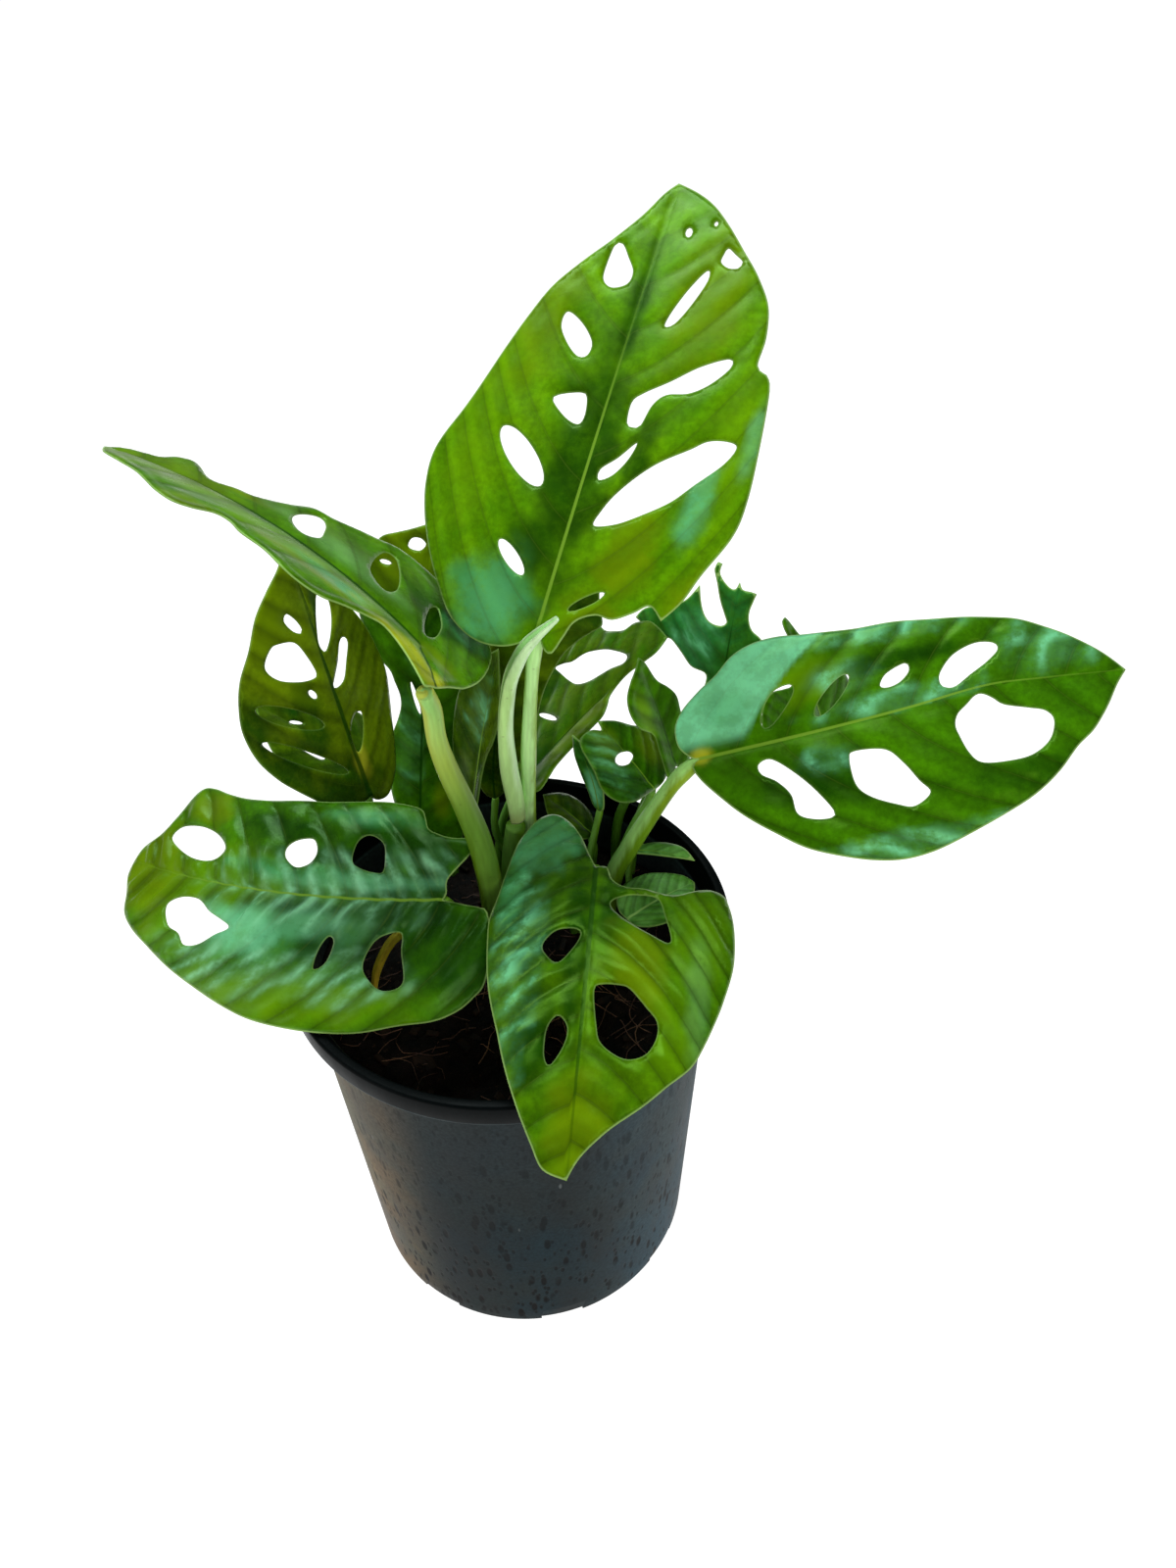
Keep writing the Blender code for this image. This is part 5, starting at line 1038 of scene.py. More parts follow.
def leaf_ground(nodes, look):
    """Two greens mingled by clouds, panels, streaks and mottling, with the soft patches laid on: painted teal
    and grey sheen among them, and deep patches that are partly painted shade.
    """
    cloud = nodes.smooth(nodes.noise(45, 4.0, 0.6), 0.38, 0.62)
    tone = nodes.plus(nodes.times(cloud, 0.40), nodes.times(nodes.attribute("panel"), 0.20))
    half = look["streaks"] / 2
    tone = nodes.plus(tone, nodes.smooth(nodes.streak, 0.38, 0.62, 0.11 - half, 0.11 + half))
    tone = nodes.plus(tone, nodes.smooth(nodes.mottle, 0.40, 0.60, 0.0, 0.18))
    ground = nodes.mix(tone, colour(look["main"]), colour(look["other"]))
    ground = nodes.shaded(ground, nodes.smooth(nodes.noise(500, 4.0, 0.65), 0.3, 0.7, 0.82, 1.16))
    for kind, most in SPOT_KINDS.items():
        least = most * (0.45 if kind == "teal_sheen" else 0.8)
        share = nodes.times(nodes.attribute(kind), nodes.smooth(nodes.mottle, 0.38, 0.58, least, most))
        ground = nodes.mix(share, ground, colour(kind))
    return ground


def painted_panel_shading(nodes, look, ground):
    """Painted shade in the furrows, a painted highlight on one flank of each panel and a dark line right on
    each side vein.
    """
    lit_flank = nodes.math("SINE", nodes.times(nodes.phase, 2 * math.pi))
    return nodes.shaded(ground, nodes.smooth(nodes.to_vein, 0.0, 0.30, look["furrow_shade"], 1.04),
                        nodes.smooth(lit_flank, -1.0, 1.0, 0.86, 1.12),
                        nodes.smooth(nodes.to_vein, 0.015, 0.05, look["line"], 1.0))


def painted_leaf_sheen(nodes, look, ground):
    """The painted soft bluish sheen and the painted glints, which are broken up by the streaks and the
    mottling.
    """
    lined = 3.2 * look["streaks"]
    broken = nodes.plus(nodes.times(nodes.streak, lined), nodes.times(nodes.mottle, 1 - lined))
    most = look["gleam"]
    sheen = nodes.times(nodes.attribute("sky_sheen"), nodes.smooth(nodes.mottle, 0.36, 0.60, 0.68, 0.94))
    glint = nodes.times(nodes.attribute("glint"), nodes.smooth(broken, 0.40, 0.56, 0.25 * most, most))
    return nodes.mix(glint, nodes.mix(sheen, ground, colour("sky_sheen")), colour(look["shine"]))


def leaf_lines(nodes, look, ground):
    """Fine pale side veins, the midrib and the pale margin."""
    vein = nodes.smooth(nodes.to_vein, 0.006, 0.026, 1.0, 0.0)
    vein = nodes.times(vein, nodes.smooth(nodes.rim, 1.0, 4.0))
    ground = nodes.mix(nodes.times(vein, 0.10), ground, colour("rib"))
    half, end, edge = look["rib_half"], look["rib_end"], look["edge"]
    half_here = nodes.smooth(nodes.along, 0.0, 1.0, half, half * 0.4)
    rib = nodes.smooth(nodes.math("DIVIDE", nodes.reach, half_here), 0.6, 1.25, 1.0, 0.0)
    rib = nodes.times(rib, nodes.smooth(nodes.along, 0.5 * end, end, 0.85, 0.15))
    ground = nodes.mix(rib, ground, colour(look["rib_tone"]))
    ground = nodes.mix(nodes.smooth(nodes.attribute("margin"), 0.2, 0.6, edge, 0.0), ground, colour("margin"))
    return nodes.mix(nodes.smooth(nodes.rim, 0.15, 0.5, 0.5 * edge, 0.0), ground, colour("margin"))


def leaf_back(nodes):
    """The paler underside with its own veins and midrib."""
    back = nodes.mix(nodes.smooth(nodes.mottle, 0.35, 0.65), colour("underside"), colour("underside_dark"))
    back = nodes.mix(nodes.smooth(nodes.to_vein, 0.01, 0.05, 0.5, 0.0), back, colour("margin"))
    return nodes.mix(nodes.smooth(nodes.reach, 0.5, 1.2, 0.7, 0.0), back, colour("margin"))


def leaf_material(name, look):
    """A glossy leaf with a mottled upper face, painted sheen, glints and panel shading, and a paler, duller
    underside.
    """
    nodes = LeafNodes(name)
    ground = painted_panel_shading(nodes, look, leaf_ground(nodes, look))
    ground = leaf_lines(nodes, look, painted_leaf_sheen(nodes, look, ground))
    under = nodes.attribute("under")
    ground = nodes.mix(nodes.times(under, 0.85), ground, leaf_back(nodes))
    rough = nodes.smooth(nodes.noise(120, 3.0, 0.6), 0.3, 0.7, 0.24, 0.36)
    height = nodes.plus(nodes.times(nodes.streak, 5.5 * look["streaks"]), nodes.times(nodes.mottle, 0.6))
    return nodes.finish(Base_Color=ground, Roughness=nodes.plus(rough, nodes.times(under, 0.2)),
                        Normal=nodes.bump(height, 0.00022, 0.6), Specular_IOR_Level=0.22,
                        Specular_Tint=opaque(look["gloss"]))


def make_leaf(name, leaf, look, seed):
    """A leaf's blade, with the values that its material needs at each point of its two faces."""
    loops = leaf_loops(leaf)
    flat, faces = triangulated(loops, filling(loops, GRID_STEP, GRID_MARGIN))
    margin, *to_holes = (distance_to(flat, loop) for loop in loops)
    rim = np.min([margin, *to_holes], axis=0)
    across = flat[:, 1] - rib_offset(look, flat[:, 0])
    phase = vein_phase(leaf, look, flat[:, 0], across)
    middle, up = laid_out(leaf, flat[:, 0], flat[:, 1])
    middle = middle + up * relief(leaf, look, flat, across, margin, rim, phase, seed)[:, None]
    up = point_normals(middle, faces)
    half = EDGE_HALF + (BLADE_HALF - EDGE_HALF) * soft_step(rim, 0.0, 0.8)
    share = np.clip(flat[:, 0] / leaf["length"], 0.0, 1.0)
    rib = RIB_DROP * (1 - 0.75 * share) * np.exp(-(across / 0.9) ** 2) * soft_step(margin, 0.0, 4.0)
    points, solid = closed_sheet(middle + up * half[:, None], middle - up * (half + rib)[:, None], faces)
    one_face = {"along": share, "across": across, "rim": rim, "margin": margin, "phase": phase,
                "panel": panel_tones(phase, across, seed), **spot_values(look, flat, across, phase, seed)}
    values = {key: np.tile(numbers, 2) for key, numbers in one_face.items()}
    values["under"] = np.repeat([0.0, 1.0], len(flat))
    new_piece(name + "_blade", points, solid, leaf_material(name, look), look["slot"], "leaf_" + name,
              values=values)


def seat_under(leaf, stalk):
    """Where a stalk's top comes to lie just under its blade."""
    s, t = seat_of(leaf)
    point, up = laid_out(leaf, np.array([s]), np.array([t]))
    slant = abs(float(np.dot(unit(point[0] - np.array(stalk["route"][-1])), up[0])))
    return point[0] - up[0] * (SEAT_DROP + stalk["radii"][-1] * math.sqrt(max(0.0, 1 - slant * slant)))


def stalk_line(stalk, step):
    """Middle points along a stalk's route, with a radius and a share of the way for each."""
    knots = [(*point, radius) for point, radius in zip(stalk["route"], stalk["radii"])]
    line = np.array(rounded(knots, [], step))
    steps = np.linalg.norm(np.diff(line[:, :3], axis=0), axis=1)
    share = np.concatenate([[0.0], np.cumsum(steps)]) / steps.sum()
    return line[:, :3], line[:, 3], share


def rings(line, radii, angles):
    """Points about a line, at the same angles around each of its points, without sudden turns."""
    ahead = unit(np.gradient(line, axis=0))
    across = np.zeros_like(line)
    across[0] = unit(np.cross(ahead[0], (0.3, 1.0, 0.2)))
    for k in range(1, len(line)):
        across[k] = unit(across[k - 1] - ahead[k] * np.dot(across[k - 1], ahead[k]))
    other = np.cross(ahead, across)
    ways = np.cos(angles)[:, None] * across[:, None] + np.sin(angles)[:, None] * other[:, None]
    return line[:, None] + ways * radii[..., None]


def ring_faces(count, sides):
    """Faces of a closed skin over a row of rings and two middle points, which come after the rings."""
    faces = []
    around = [(side, (side + 1) % sides) for side in range(sides)]
    last = (count - 1) * sides
    for ring in range(0, last, sides):
        faces += [(ring + a, ring + b, ring + b + sides, ring + a + sides) for a, b in around]
    for a, b in around:
        faces += [(count * sides, b, a), (count * sides + 1, last + a, last + b)]
    return faces


def tube(stalk, section, step=STALK_STEP, sides=STALK_SIDES):
    """A closed tube along a stalk, with values per point. Section gives the radius factor at each place."""
    line, radius, share = stalk_line(stalk, step)
    angles = circle(sides)
    skin = rings(line, radius[:, None] * section(angles, share[:, None]), angles)
    points = np.vstack([skin.reshape(-1, 3), line[0], line[-1]])
    way = np.append(np.repeat(share, sides), (0.0, 1.0))
    around = np.append(np.tile(angles, len(line)), (0.0, 0.0))
    return points, ring_faces(len(line), sides), {"way": way, "around": around}


# Stalk colours: low down, high up and along the side with a painted highlight, that side's turn about the
# stalk in radians, from the left past the front, and how far up the stalk it begins. The opposite side gets
# painted shade.
STALK_TONES = {
    "crown": ((0.34, 0.54, 0.045), (0.38, 0.66, 0.09), (0.62, 1.00, 0.42), 1.7, 0.2),
    "wing": ((0.095, 0.200, 0.006), (0.50, 0.58, 0.08), (0.30, 0.62, 0.18), 2.3, 0.78),
    "right": ((0.13, 0.27, 0.008), (0.26, 0.40, 0.02), (0.36, 0.70, 0.20), 0.4, 0.3),
}
STALK_PLAIN = ((0.070, 0.190, 0.008), (0.16, 0.36, 0.02), (0.20, 0.46, 0.08), 1.0, 0.5)
SHEATH_TONES = ((0.55, 0.85, 0.30), (0.72, 1.00, 0.58), (0.80, 1.00, 0.70), 2.2, 0.1)
# The old stalk's straw tones are set bright to make up for the low leaf's shade over it, so partly painted
# light.
STRAW_TONES = ((0.90, 0.66, 0.05), (0.80, 0.55, 0.04), (0.95, 0.75, 0.10), 1.5, 0.1)
STALK_GLOSS = (0.7, 1.0, 0.35)


def stalk_material(name, low, high, side, turn, start, ribs=11.0):
    """A smooth stalk, with streaks and flecks, that changes colour on its way up, with a painted highlight
    down one side and painted shade on the other.
    """
    nodes = Nodes(name)
    way, around = nodes.attribute("way"), nodes.attribute("around")
    streak = nodes.noise(90, 4.0, 0.65, nodes.stretched(3.0, 0.25))
    facing = nodes.math("COSINE", nodes.minus(around, turn))
    facing = nodes.plus(facing, nodes.smooth(streak, 0.3, 0.7, -0.18, 0.18))
    painted_highlight = nodes.smooth(facing, 0.25, 0.95, 0.0, 0.85)
    painted_highlight = nodes.times(painted_highlight, nodes.smooth(way, start, start + 0.2, 0.15, 1.0))
    wander = nodes.plus(around, nodes.times(nodes.noise(25, 2.0), 1.5))
    ribbing = nodes.math("SINE", nodes.times(wander, ribs))
    ground = nodes.mix(nodes.smooth(way, 0.60, 0.97), opaque(low), opaque(high))
    ground = nodes.mix(painted_highlight, ground, opaque(side))
    ground = nodes.shaded(ground, nodes.smooth(facing, -1.1, 0.1, 0.66, 1.0),
                          nodes.smooth(streak, 0.3, 0.7, 0.86, 1.08),
                          nodes.smooth(ribbing, -1.0, 1.0, 0.96, 1.03),
                          nodes.smooth(nodes.cells(260), 0.05, 0.14, 0.8, 1.0))
    ground = nodes.mix(nodes.smooth(way, 0.1, 0.0, 0.0, 0.6), ground, colour("stalk_foot"))
    height = nodes.plus(nodes.times(ribbing, 0.2), nodes.noise(500, 2.0))
    return nodes.finish(Base_Color=ground, Roughness=nodes.smooth(streak, 0.3, 0.7, 0.30, 0.42),
                        Normal=nodes.bump(height, 0.0001, 0.6), Specular_IOR_Level=0.3,
                        Specular_Tint=opaque(STALK_GLOSS))


def round_section(angle, share):
    return 1.0


def stalk_section(angle, share):
    """Round, with a shallow channel along one side."""
    return 1 - 0.14 * np.exp(-((angle - math.pi) / 0.5) ** 2)


def kneed_section(angle, share):
    """As the plain stalk, but thicker just under the blade."""
    return stalk_section(angle, share) * (1 + 0.22 * np.exp(-((share - 0.95) / 0.05) ** 2))


def stem_section(angle, share):
    """Faintly three-sided."""
    return 1 + 0.05 * np.sin(3 * angle)


def withered_section(angle, share):
    """Four soft ridges that wind along the stalk."""
    return 1 + 0.12 * np.sin(4 * angle + 6 * share)


def make_stalks():
    plain = stalk_material("stalk_green", *STALK_PLAIN)
    old = stalk_material("stalk_old", *STRAW_TONES)
    pieces = []
    for name, stalk in STALKS.items():
        finish = stalk_material("stalk_" + name, *STALK_TONES[name]) if name in STALK_TONES else plain
        seated = dict(stalk, route=stalk["route"] + [tuple(seat_under(LEAVES[name], stalk))])
        section = stalk_section if name == "wing" else kneed_section
        pieces.append((name + "_stalk", seated, section, finish, "stalk", "petiole_" + name))
    pieces += [("main_stem", STEM, stem_section, plain, "stalk", "stem"),
               ("old_stalk", YELLOW_STALK, withered_section, old, "dry_stalk", "yellow_stalk")]
    for name, stalk, section, finish, slot, node in pieces:
        points, faces, values = tube(stalk, section)
        new_piece(name, points, faces, finish, slot, node, values=values)


def make_sheath():
    """The pale sheath leaf: a thin sheet rolled most of the way round its middle line, ending in a point."""
    line, radius, share = stalk_line(SHEATH, SHEATH_STEP)
    angles = np.linspace(-SHEATH_SPREAD / 2, SHEATH_SPREAD / 2, SHEATH_COLUMNS)
    points = rings(line, radius[:, None], angles + SHEATH_TURN).reshape(-1, 3)
    a = np.arange(len(points)).reshape(-1, SHEATH_COLUMNS)[:-1, :-1].ravel()
    c = a + SHEATH_COLUMNS
    faces = np.vstack([np.column_stack([a, a + 1, c + 1]), np.column_stack([a, c + 1, c])])
    rise = point_normals(points, faces) * SHEATH_HALF
    shell, solid = closed_sheet(points + rise, points - rise, faces)
    values = {"way": np.tile(np.repeat(share, SHEATH_COLUMNS), 2),
              "around": np.tile(angles + SHEATH_SPREAD / 2, 2 * len(line))}
    finish = stalk_material("sheath_pale", *SHEATH_TONES, ribs=7.0)
    new_piece("sheath_skin", shell, solid, finish, "sheath", "sheath_leaf", values=values)


def lathe(profile, sides):
    """A closed solid turned about the Z axis from radius and height pairs that start and end on the axis."""
    points = [(r * math.cos(a), r * math.sin(a), z) for r, z in profile[1:-1] for a in circle(sides)]
    points += [(0.0, 0.0, profile[0][1]), (0.0, 0.0, profile[-1][1])]
    return points, ring_faces(len(profile) - 2, sides)


def cubes(blocks):
    """Many cubes as one set of points and faces, from the eight corners of each."""
    faces = [tuple(8 * k + n for n in face) for k in range(len(blocks)) for face in CUBE_FACES]
    return np.vstack(blocks), faces


def corner(centre, radius, start, end, parts=4):
    """Points of a rounded edge in a profile."""
    turns = np.radians(np.linspace(start, end, parts + 1))
    return [(centre[0] + radius * math.cos(a), centre[1] + radius * math.sin(a)) for a in turns]


def between(start, end, parts):
    """Points evenly spaced between two others, without those two."""
    return [tuple(a + (b - a) * (k / parts) for a, b in zip(start, end)) for k in range(1, parts)]


def pot_profile():
    """The pot's section from the middle of its base, up the wall, over the lip and down inside."""
    inner_top, inner_base = WALL_TOP_RADIUS - WALL, BASE_RADIUS - WALL
    blend_low = LIP_LOW - LIP_BLEND
    profile = [(0, 0.0), (20, 0.0), (40, 0.0), (BASE_RADIUS - 6, 0.0)]
    profile += corner((BASE_RADIUS - BASE_CORNER, BASE_CORNER), BASE_CORNER, -90, -4)
    profile += between((BASE_RADIUS, BASE_CORNER), (WALL_TOP_RADIUS, LIP_LOW), 24)
    profile += [(WALL_TOP_RADIUS, LIP_LOW - 0.4), (WALL_TOP_RADIUS + 0.3, LIP_LOW)]
    profile += corner((RIM_RADIUS - 0.6, LIP_LOW + 0.6), 0.6, -90, 0, 3)
    profile += corner((RIM_RADIUS - 0.9, POT_HEIGHT - 0.9), 0.9, 0, 90)
    profile += corner((RIM_RADIUS - LIP_WALL + 0.7, POT_HEIGHT - 0.7), 0.7, 90, 180)
    profile += [(inner_top + 0.2, blend_low + 1.0), (inner_top, blend_low)]
    profile += between((inner_top, blend_low), (inner_base, WALL), 8)
    return profile + [(inner_base, WALL), (30, WALL), (0, WALL)]


def pot_wall(nodes, z, cloud):
    """The wall's colours: nearly black, with a painted warm reflection on the front left, a painted cool
    reflection on the front right, and paler toward the lip.
    """
    x, y = nodes.coordinate("X"), nodes.coordinate("Y")
    front = nodes.smooth(y, -0.022, 0.012, 1.0, 0.0)
    warm_shine = nodes.times(nodes.smooth(x, -0.060, -0.022, 1.0, 0.0), front)
    cool_shine = nodes.times(nodes.smooth(x, 0.012, 0.055), front)
    wall = nodes.mix(warm_shine, colour("plastic"), colour("warm_reflection"))
    wall = nodes.mix(cool_shine, wall, colour("cool_reflection"))
    hue = nodes.mix(nodes.smooth(nodes.noise(28, 3.0, 0.6), 0.35, 0.65), colour("warmer"), colour("cooler"))
    wall = nodes.shaded(wall, nodes.smooth(cloud, 0.3, 0.7, 0.65, 1.35), hue)
    return nodes.mix(nodes.smooth(z, 0.05, 0.135, 0.0, 0.35), wall, colour("upper_wall"))


def pot_pits(nodes, z):
    """Patches of pits and specks, drawn out upward and fewer toward the lip."""
    pits = nodes.smooth(nodes.cells(230, nodes.stretched(1.0, 0.32)), 0.18, 0.32, 1.0, 0.0)
    specks = nodes.smooth(nodes.cells(430, nodes.stretched(1.0, 0.4)), 0.20, 0.34, 0.8, 0.0)
    patchy = nodes.smooth(nodes.noise(80, 2.0), 0.34, 0.50)
    low_down = nodes.smooth(z, 0.01, 0.12, 1.0, 0.35)
    return nodes.times(nodes.math("MAXIMUM", pits, specks), nodes.times(patchy, low_down))


def pot_material():
    """Moulded black plastic: a black lip with a paler line along its lower edge, above a wall with pits,
    scuffs and painted reflections.
    """
    nodes = Nodes("pot_plastic")
    z = nodes.coordinate("Z")
    lip_low = LIP_LOW * MM
    lip = nodes.smooth(z, lip_low - 0.0006, lip_low)
    cloud = nodes.noise(60, 5.0, 0.65, nodes.stretched(1.0, 0.35))
    fine = nodes.noise(900, 3.0, 0.6)
    pits = pot_pits(nodes, z)
    scuff = nodes.smooth(nodes.cells(95, nodes.stretched(1.0, 0.35)), 0.03, 0.06, 1.0, 0.0)
    lip_line = nodes.times(nodes.smooth(z, lip_low + 0.0003, lip_low + 0.0012, 1.0, 0.0), lip)
    lip_line = nodes.times(lip_line, nodes.smooth(cloud, 0.3, 0.6, 0.4, 1.0))
    ground = nodes.mix(pits, pot_wall(nodes, z, cloud), colour("pit"))
    ground = nodes.mix(nodes.times(scuff, 0.25), ground, colour("scuff"))
    ground = nodes.mix(lip_line, nodes.mix(lip, ground, colour("lip")), colour("pale_lip_line"))
    ground = nodes.shaded(ground, nodes.smooth(fine, 0.3, 0.7, 0.8, 1.2))
    rough = nodes.minus(nodes.smooth(cloud, 0.3, 0.7, 0.42, 0.56), nodes.times(lip, 0.12))
    height = nodes.minus(nodes.times(fine, 0.2), nodes.times(pits, nodes.minus(1.0, lip)))
    return nodes.finish(Base_Color=ground, Roughness=rough, Normal=nodes.bump(height, 0.0002, 0.5),
                        Specular_IOR_Level=0.03)


def make_pot():
    points, faces = lathe(pot_profile(), POT_SIDES)
    pot = new_piece("pot_body", points, faces, pot_material(), "pot", "pot")
    # Each slot's cutter reaches out past the wall and down past the base.
    low = np.array((BASE_RADIUS - SLOT_DEPTH, -SLOT_WIDTH / 2, -1.0))
    high = np.array((BASE_RADIUS + 2.0, SLOT_WIDTH / 2, SLOT_HEIGHT))
    block = (low + high) / 2 + CUBE_CORNERS * (high - low) / 2
    turns = [Matrix.Rotation(math.radians(SLOT_TURN) + turn, 3, "Z") for turn in circle(SLOT_COUNT)]
    points, faces = cubes([block @ np.array(turn).T for turn in turns])
    cutter = new_object("slots", new_mesh("slots", (points * MM).tolist(), faces))
    cut = pot.modifiers.new("slots", "BOOLEAN")
    cut.operation = "DIFFERENCE"
    cut.solver = "EXACT"
    cut.object = cutter
    shaped = bpy.data.meshes.new_from_object(pot.evaluated_get(bpy.context.evaluated_depsgraph_get()))
    pot.modifiers.remove(cut)
    pot.data = shaped
    bpy.data.objects.remove(cutter, do_unlink=True)


def soil_height(x, y):
    """The soil's uneven surface."""
    return SOIL_LEVEL + SOIL_SWELL * (np.sin(x / 13 + 0.7) * np.cos(y / 11) + 0.4 * np.sin((x - y) / 7))


def inner_radius(z):
    """The pot's inside radius at a height."""
    low, high = BASE_RADIUS - WALL, WALL_TOP_RADIUS - WALL
    return low + (high - low) * (z - WALL) / (LIP_LOW - LIP_BLEND - WALL)


def soil_material():
    """Dark damp potting mix: near black crumbs with brown bark and straw coloured dust."""
    nodes = Nodes("potting_mix")
    cloud = nodes.noise(120, 5.0, 0.7)
    ground = nodes.mix(nodes.smooth(cloud, 0.35, 0.65), colour("peat"), colour("humus"))
    ground = nodes.mix(nodes.smooth(nodes.noise(600, 2.0), 0.64, 0.74, 0.0, 0.4), ground, colour("crumb"))
    height = nodes.plus(nodes.cells(380), nodes.noise(900, 4.0, 0.7))
    return nodes.finish(Base_Color=ground, Roughness=nodes.smooth(cloud, 0.3, 0.7, 0.7, 0.95),
                        Normal=nodes.bump(height, 0.0012, 1.0), Specular_IOR_Level=0.1)


def bark_material():
    """Near black bark with browner patches."""
    nodes = Nodes("bark")
    tone = nodes.noise(160, 3.0, 0.6)
    ground = nodes.mix(nodes.smooth(tone, 0.35, 0.65), colour("bark"), colour("bark_brown"))
    height = nodes.noise(700, 3.0, 0.6)
    return nodes.finish(Base_Color=ground, Roughness=nodes.smooth(tone, 0.3, 0.7, 0.6, 0.85),
                        Normal=nodes.bump(height, 0.0004, 0.8), Specular_IOR_Level=0.1)


def fibre_material():
    """Coir fibres: reddish brown, some bleached to straw."""
    nodes = Nodes("coir")
    tone = nodes.noise(45, 2.0)
    ground = nodes.mix(nodes.smooth(tone, 0.5, 0.7), colour("coir"), colour("bleached_coir"))
    return nodes.finish(Base_Color=ground, Roughness=nodes.smooth(tone, 0.3, 0.7, 0.55, 0.8),
                        Normal=nodes.bump(nodes.noise(1500, 2.0), 0.0001, 0.5))


def make_soil():
    """Soil as one closed body with a crumbly top."""
    floor = WALL + SOIL_GAP
    rim, foot = inner_radius(SOIL_LEVEL) - SOIL_GAP, inner_radius(floor) - SOIL_GAP
    around = [(math.cos(a), math.sin(a)) for a in circle(POT_SIDES)]
    loop = [(rim * c, rim * s) for c, s in around]
    flat, faces = triangulated([loop], filling([loop], SOIL_STEP, SOIL_STEP * 0.5))
    wobble = soft_step(distance_to(flat, loop), 0.0, 3.0)
    crumbs = 0.9 * lumps(flat, 7.0, 11) + 0.55 * np.abs(lumps(flat, 3.4, 12)) + 0.5 * lumps(flat, 2.3, 13)
    top = np.column_stack([flat, soil_height(flat[:, 0], flat[:, 1]) + wobble * crumbs * 0.9])
    bottom = [(foot * c, foot * s, floor) for c, s in around] + [(0.0, 0.0, floor)]
    solid = faces.tolist()
    low, middle = len(top), len(top) + POT_SIDES
    for k in range(POT_SIDES):
        after = (k + 1) % POT_SIDES
        solid += [(k, low + k, low + after), (k, low + after, after), (middle, low + after, low + k)]
    new_piece("soil_body", np.vstack([top, bottom]), solid, soil_material(), "soil", "soil")


def scattered(dice, reach):
    """A random spot on the soil, within a reach of its middle."""
    angle, away = dice.uniform(0, 2 * math.pi), reach * math.sqrt(dice.uniform(0, 1))
    return np.array((away * math.cos(angle), away * math.sin(angle)))


def make_chips(dice):
    """Bark chips, each an uneven little block with softened edges."""
    blocks = []
    for _ in range(CHIP_COUNT):
        x, y = scattered(dice, inner_radius(SOIL_LEVEL) - CHIP_INSET)
        size = np.array([dice.uniform(*span) for span in CHIP_SIZES])
        turn = Matrix.Rotation(dice.uniform(0, 6.3), 3, "Z")
        turn = np.array(turn @ Matrix.Rotation(dice.normal() * 0.3, 3, "X"))
        chip = (CUBE_CORNERS * size * dice.uniform(0.65, 1.0, (8, 3))) @ turn.T
        blocks.append(chip + (x, y, soil_height(x, y) + CHIP_LIFT))
    chips = new_piece("soil_chips", *cubes(blocks), bark_material(), "soil", smooth=False)
    soften = chips.modifiers.new("soften", "BEVEL")
    soften.width = CHIP_BEVEL * MM
    soften.segments = 1


def make_fibres(dice):
    """Coir fibres that wander over the soil, bent back where they would meet the pot."""
    wall = inner_radius(SOIL_LEVEL)
    points, faces = [], []
    for _ in range(FIBRE_COUNT):
        start = scattered(dice, wall - CHIP_INSET)
        heading, length = dice.uniform(0, 2 * math.pi), dice.uniform(*FIBRE_LENGTHS)
        route = []
        for share in np.linspace(0, 1, FIBRE_KNOTS):
            spot = start + (share - 0.5) * length * np.array((math.cos(heading), math.sin(heading)))
            heading += dice.normal() * 0.25
            spot *= min(1.0, (wall - FIBRE_INSET) / np.hypot(*spot))
            lift = FIBRE_LIFT * (1 + abs(dice.normal()) * math.sin(math.pi * share))
            route.append((*spot, soil_height(*spot) + lift))
        fibre = dict(route=route, radii=[dice.uniform(*FIBRE_RADII)] * FIBRE_KNOTS)
        bit, quads, _ = tube(fibre, round_section, FIBRE_STEP, FIBRE_SIDES)
        faces += [tuple(len(points) + n for n in quad) for quad in quads]
        points += list(bit)
    new_piece("soil_fibres", points, faces, fibre_material(), "soil")


def make_soil_bits():
    """Loose bark chips and coir fibres that lie on the soil."""
    dice = np.random.default_rng(7)
    make_chips(dice)
    make_fibres(dice)


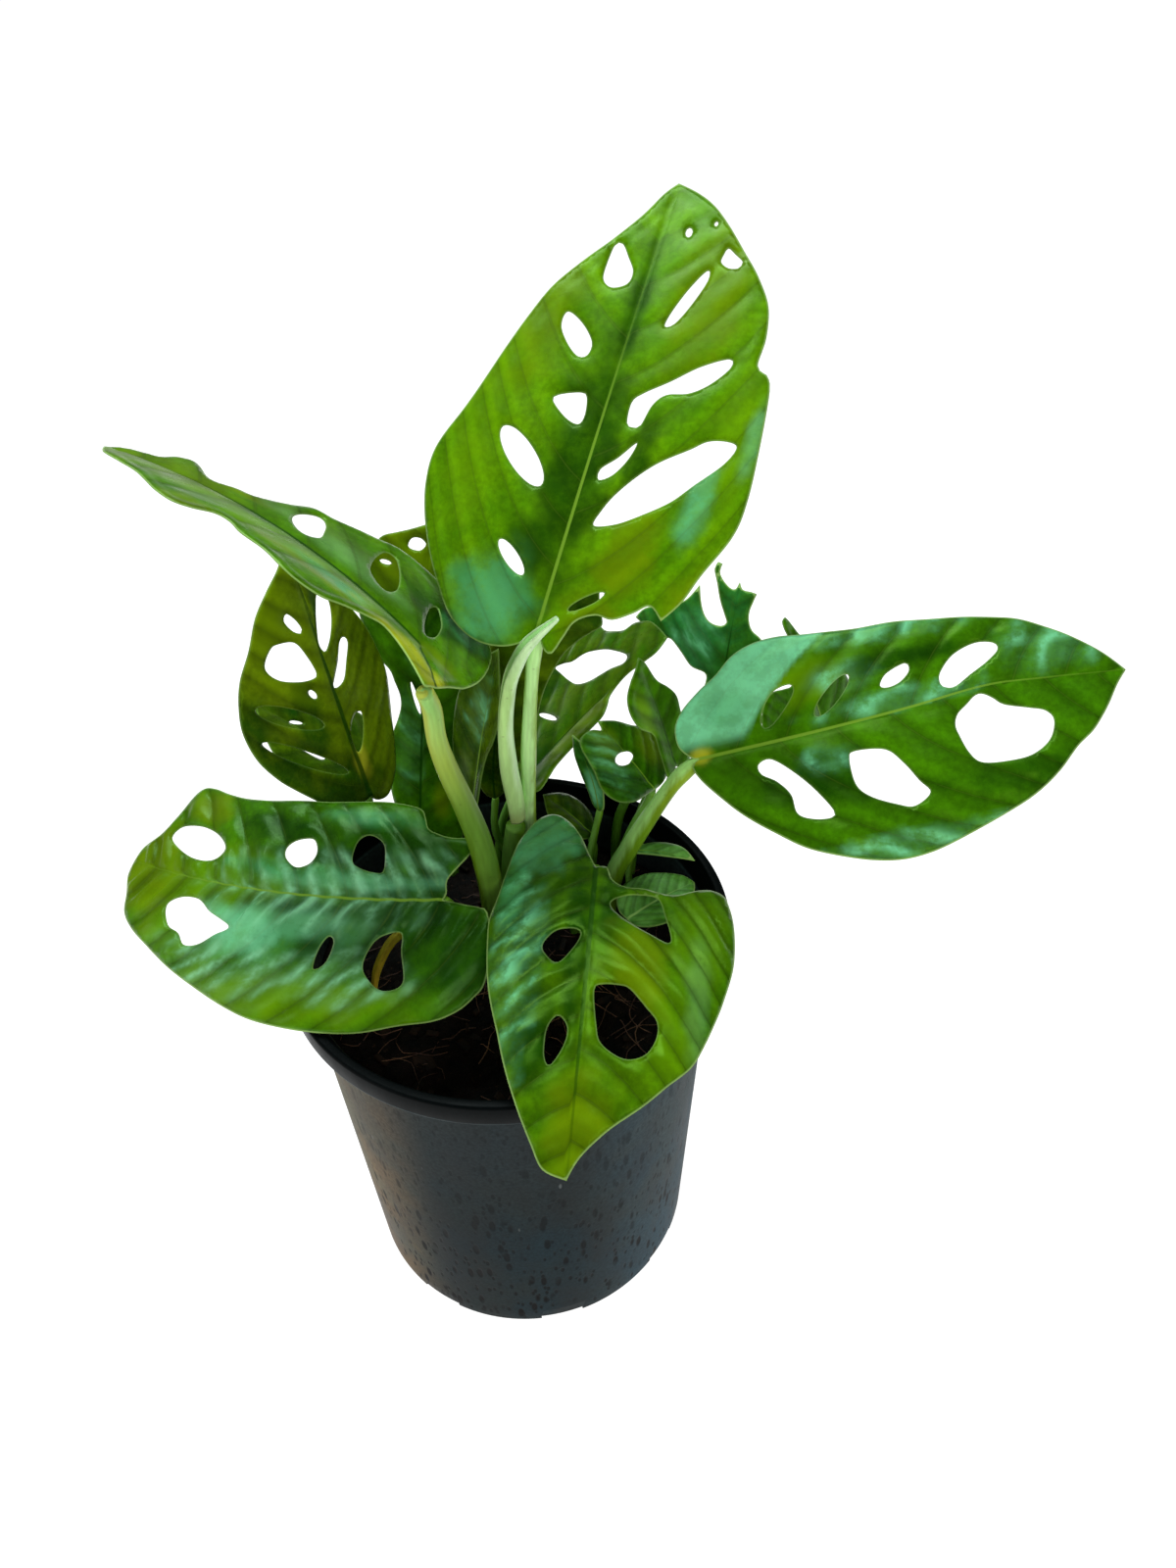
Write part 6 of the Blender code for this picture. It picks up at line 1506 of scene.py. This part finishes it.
def make_stage():
    """A plain pale floor under the pot."""
    nodes = Nodes("floor_paint")
    ground = nodes.mix(nodes.smooth(nodes.noise(3, 2.0), 0.3, 0.7), colour("floor"), colour("floor_pale"))
    finish = nodes.finish(Base_Color=ground, Roughness=0.9, Emission_Strength=1.0,
                          Emission_Color=(1.0, 1.0, 1.0, 1.0))
    corners = (CUBE_CORNERS[:4] * (FLOOR_HALF, FLOOR_HALF, 0.0)).tolist()
    floor = new_object("floor", new_mesh("floor", corners, [(0, 1, 2, 3)], finish))


def make_light():
    for name, (place, size, power, tint) in LIGHTS.items():
        lamp = bpy.data.lights.new(name, "AREA")
        lamp.shape = "SQUARE"
        lamp.size = size
        lamp.energy = power
        lamp.color = tint
        made = new_object(name, lamp)
        made.location = place
        made.rotation_euler = (Vector(LIGHT_AIM) - Vector(place)).to_track_quat("-Z", "Y").to_euler()
    world = bpy.data.worlds.new("studio")
    world.use_nodes = True
    world.node_tree.nodes["Background"].inputs["Color"].default_value = WORLD_COLOUR
    world.node_tree.nodes["Background"].inputs["Strength"].default_value = WORLD_STRENGTH
    bpy.context.scene.world = world
    bpy.context.scene.view_settings.view_transform = "Standard"


def make_camera():
    """The photograph's viewpoint: above and in front, looking down, turned slightly about its axis."""
    drop, roll = math.radians(CAMERA_DROP), math.radians(CAMERA_ROLL)
    ahead = Vector((0.0, math.cos(drop), -math.sin(drop)))
    level = Vector((1.0, 0.0, 0.0))
    rise = level.cross(ahead)
    right = math.cos(roll) * level + math.sin(roll) * rise
    up = -math.sin(roll) * level + math.cos(roll) * rise
    eye = bpy.data.cameras.new("camera")
    eye.lens = CAMERA_LENS
    eye.sensor_width = CAMERA_SENSOR
    eye.clip_start = 0.01
    camera = new_object("camera", eye)
    camera.matrix_world = Matrix((
        (right.x, up.x, -ahead.x, CAMERA_PLACE[0]),
        (right.y, up.y, -ahead.y, CAMERA_PLACE[1]),
        (right.z, up.z, -ahead.z, CAMERA_PLACE[2]),
        (0.0, 0.0, 0.0, 1.0)))
    bpy.context.scene.camera = camera


make_camera()
make_pot()
make_soil()
make_soil_bits()
make_stalks()
make_sheath()
for number, (leaf_name, leaf_shape) in enumerate(LEAVES.items()):
    make_leaf(leaf_name, leaf_shape, LOOKS[leaf_name], 100 + number)
make_stage()
make_light()
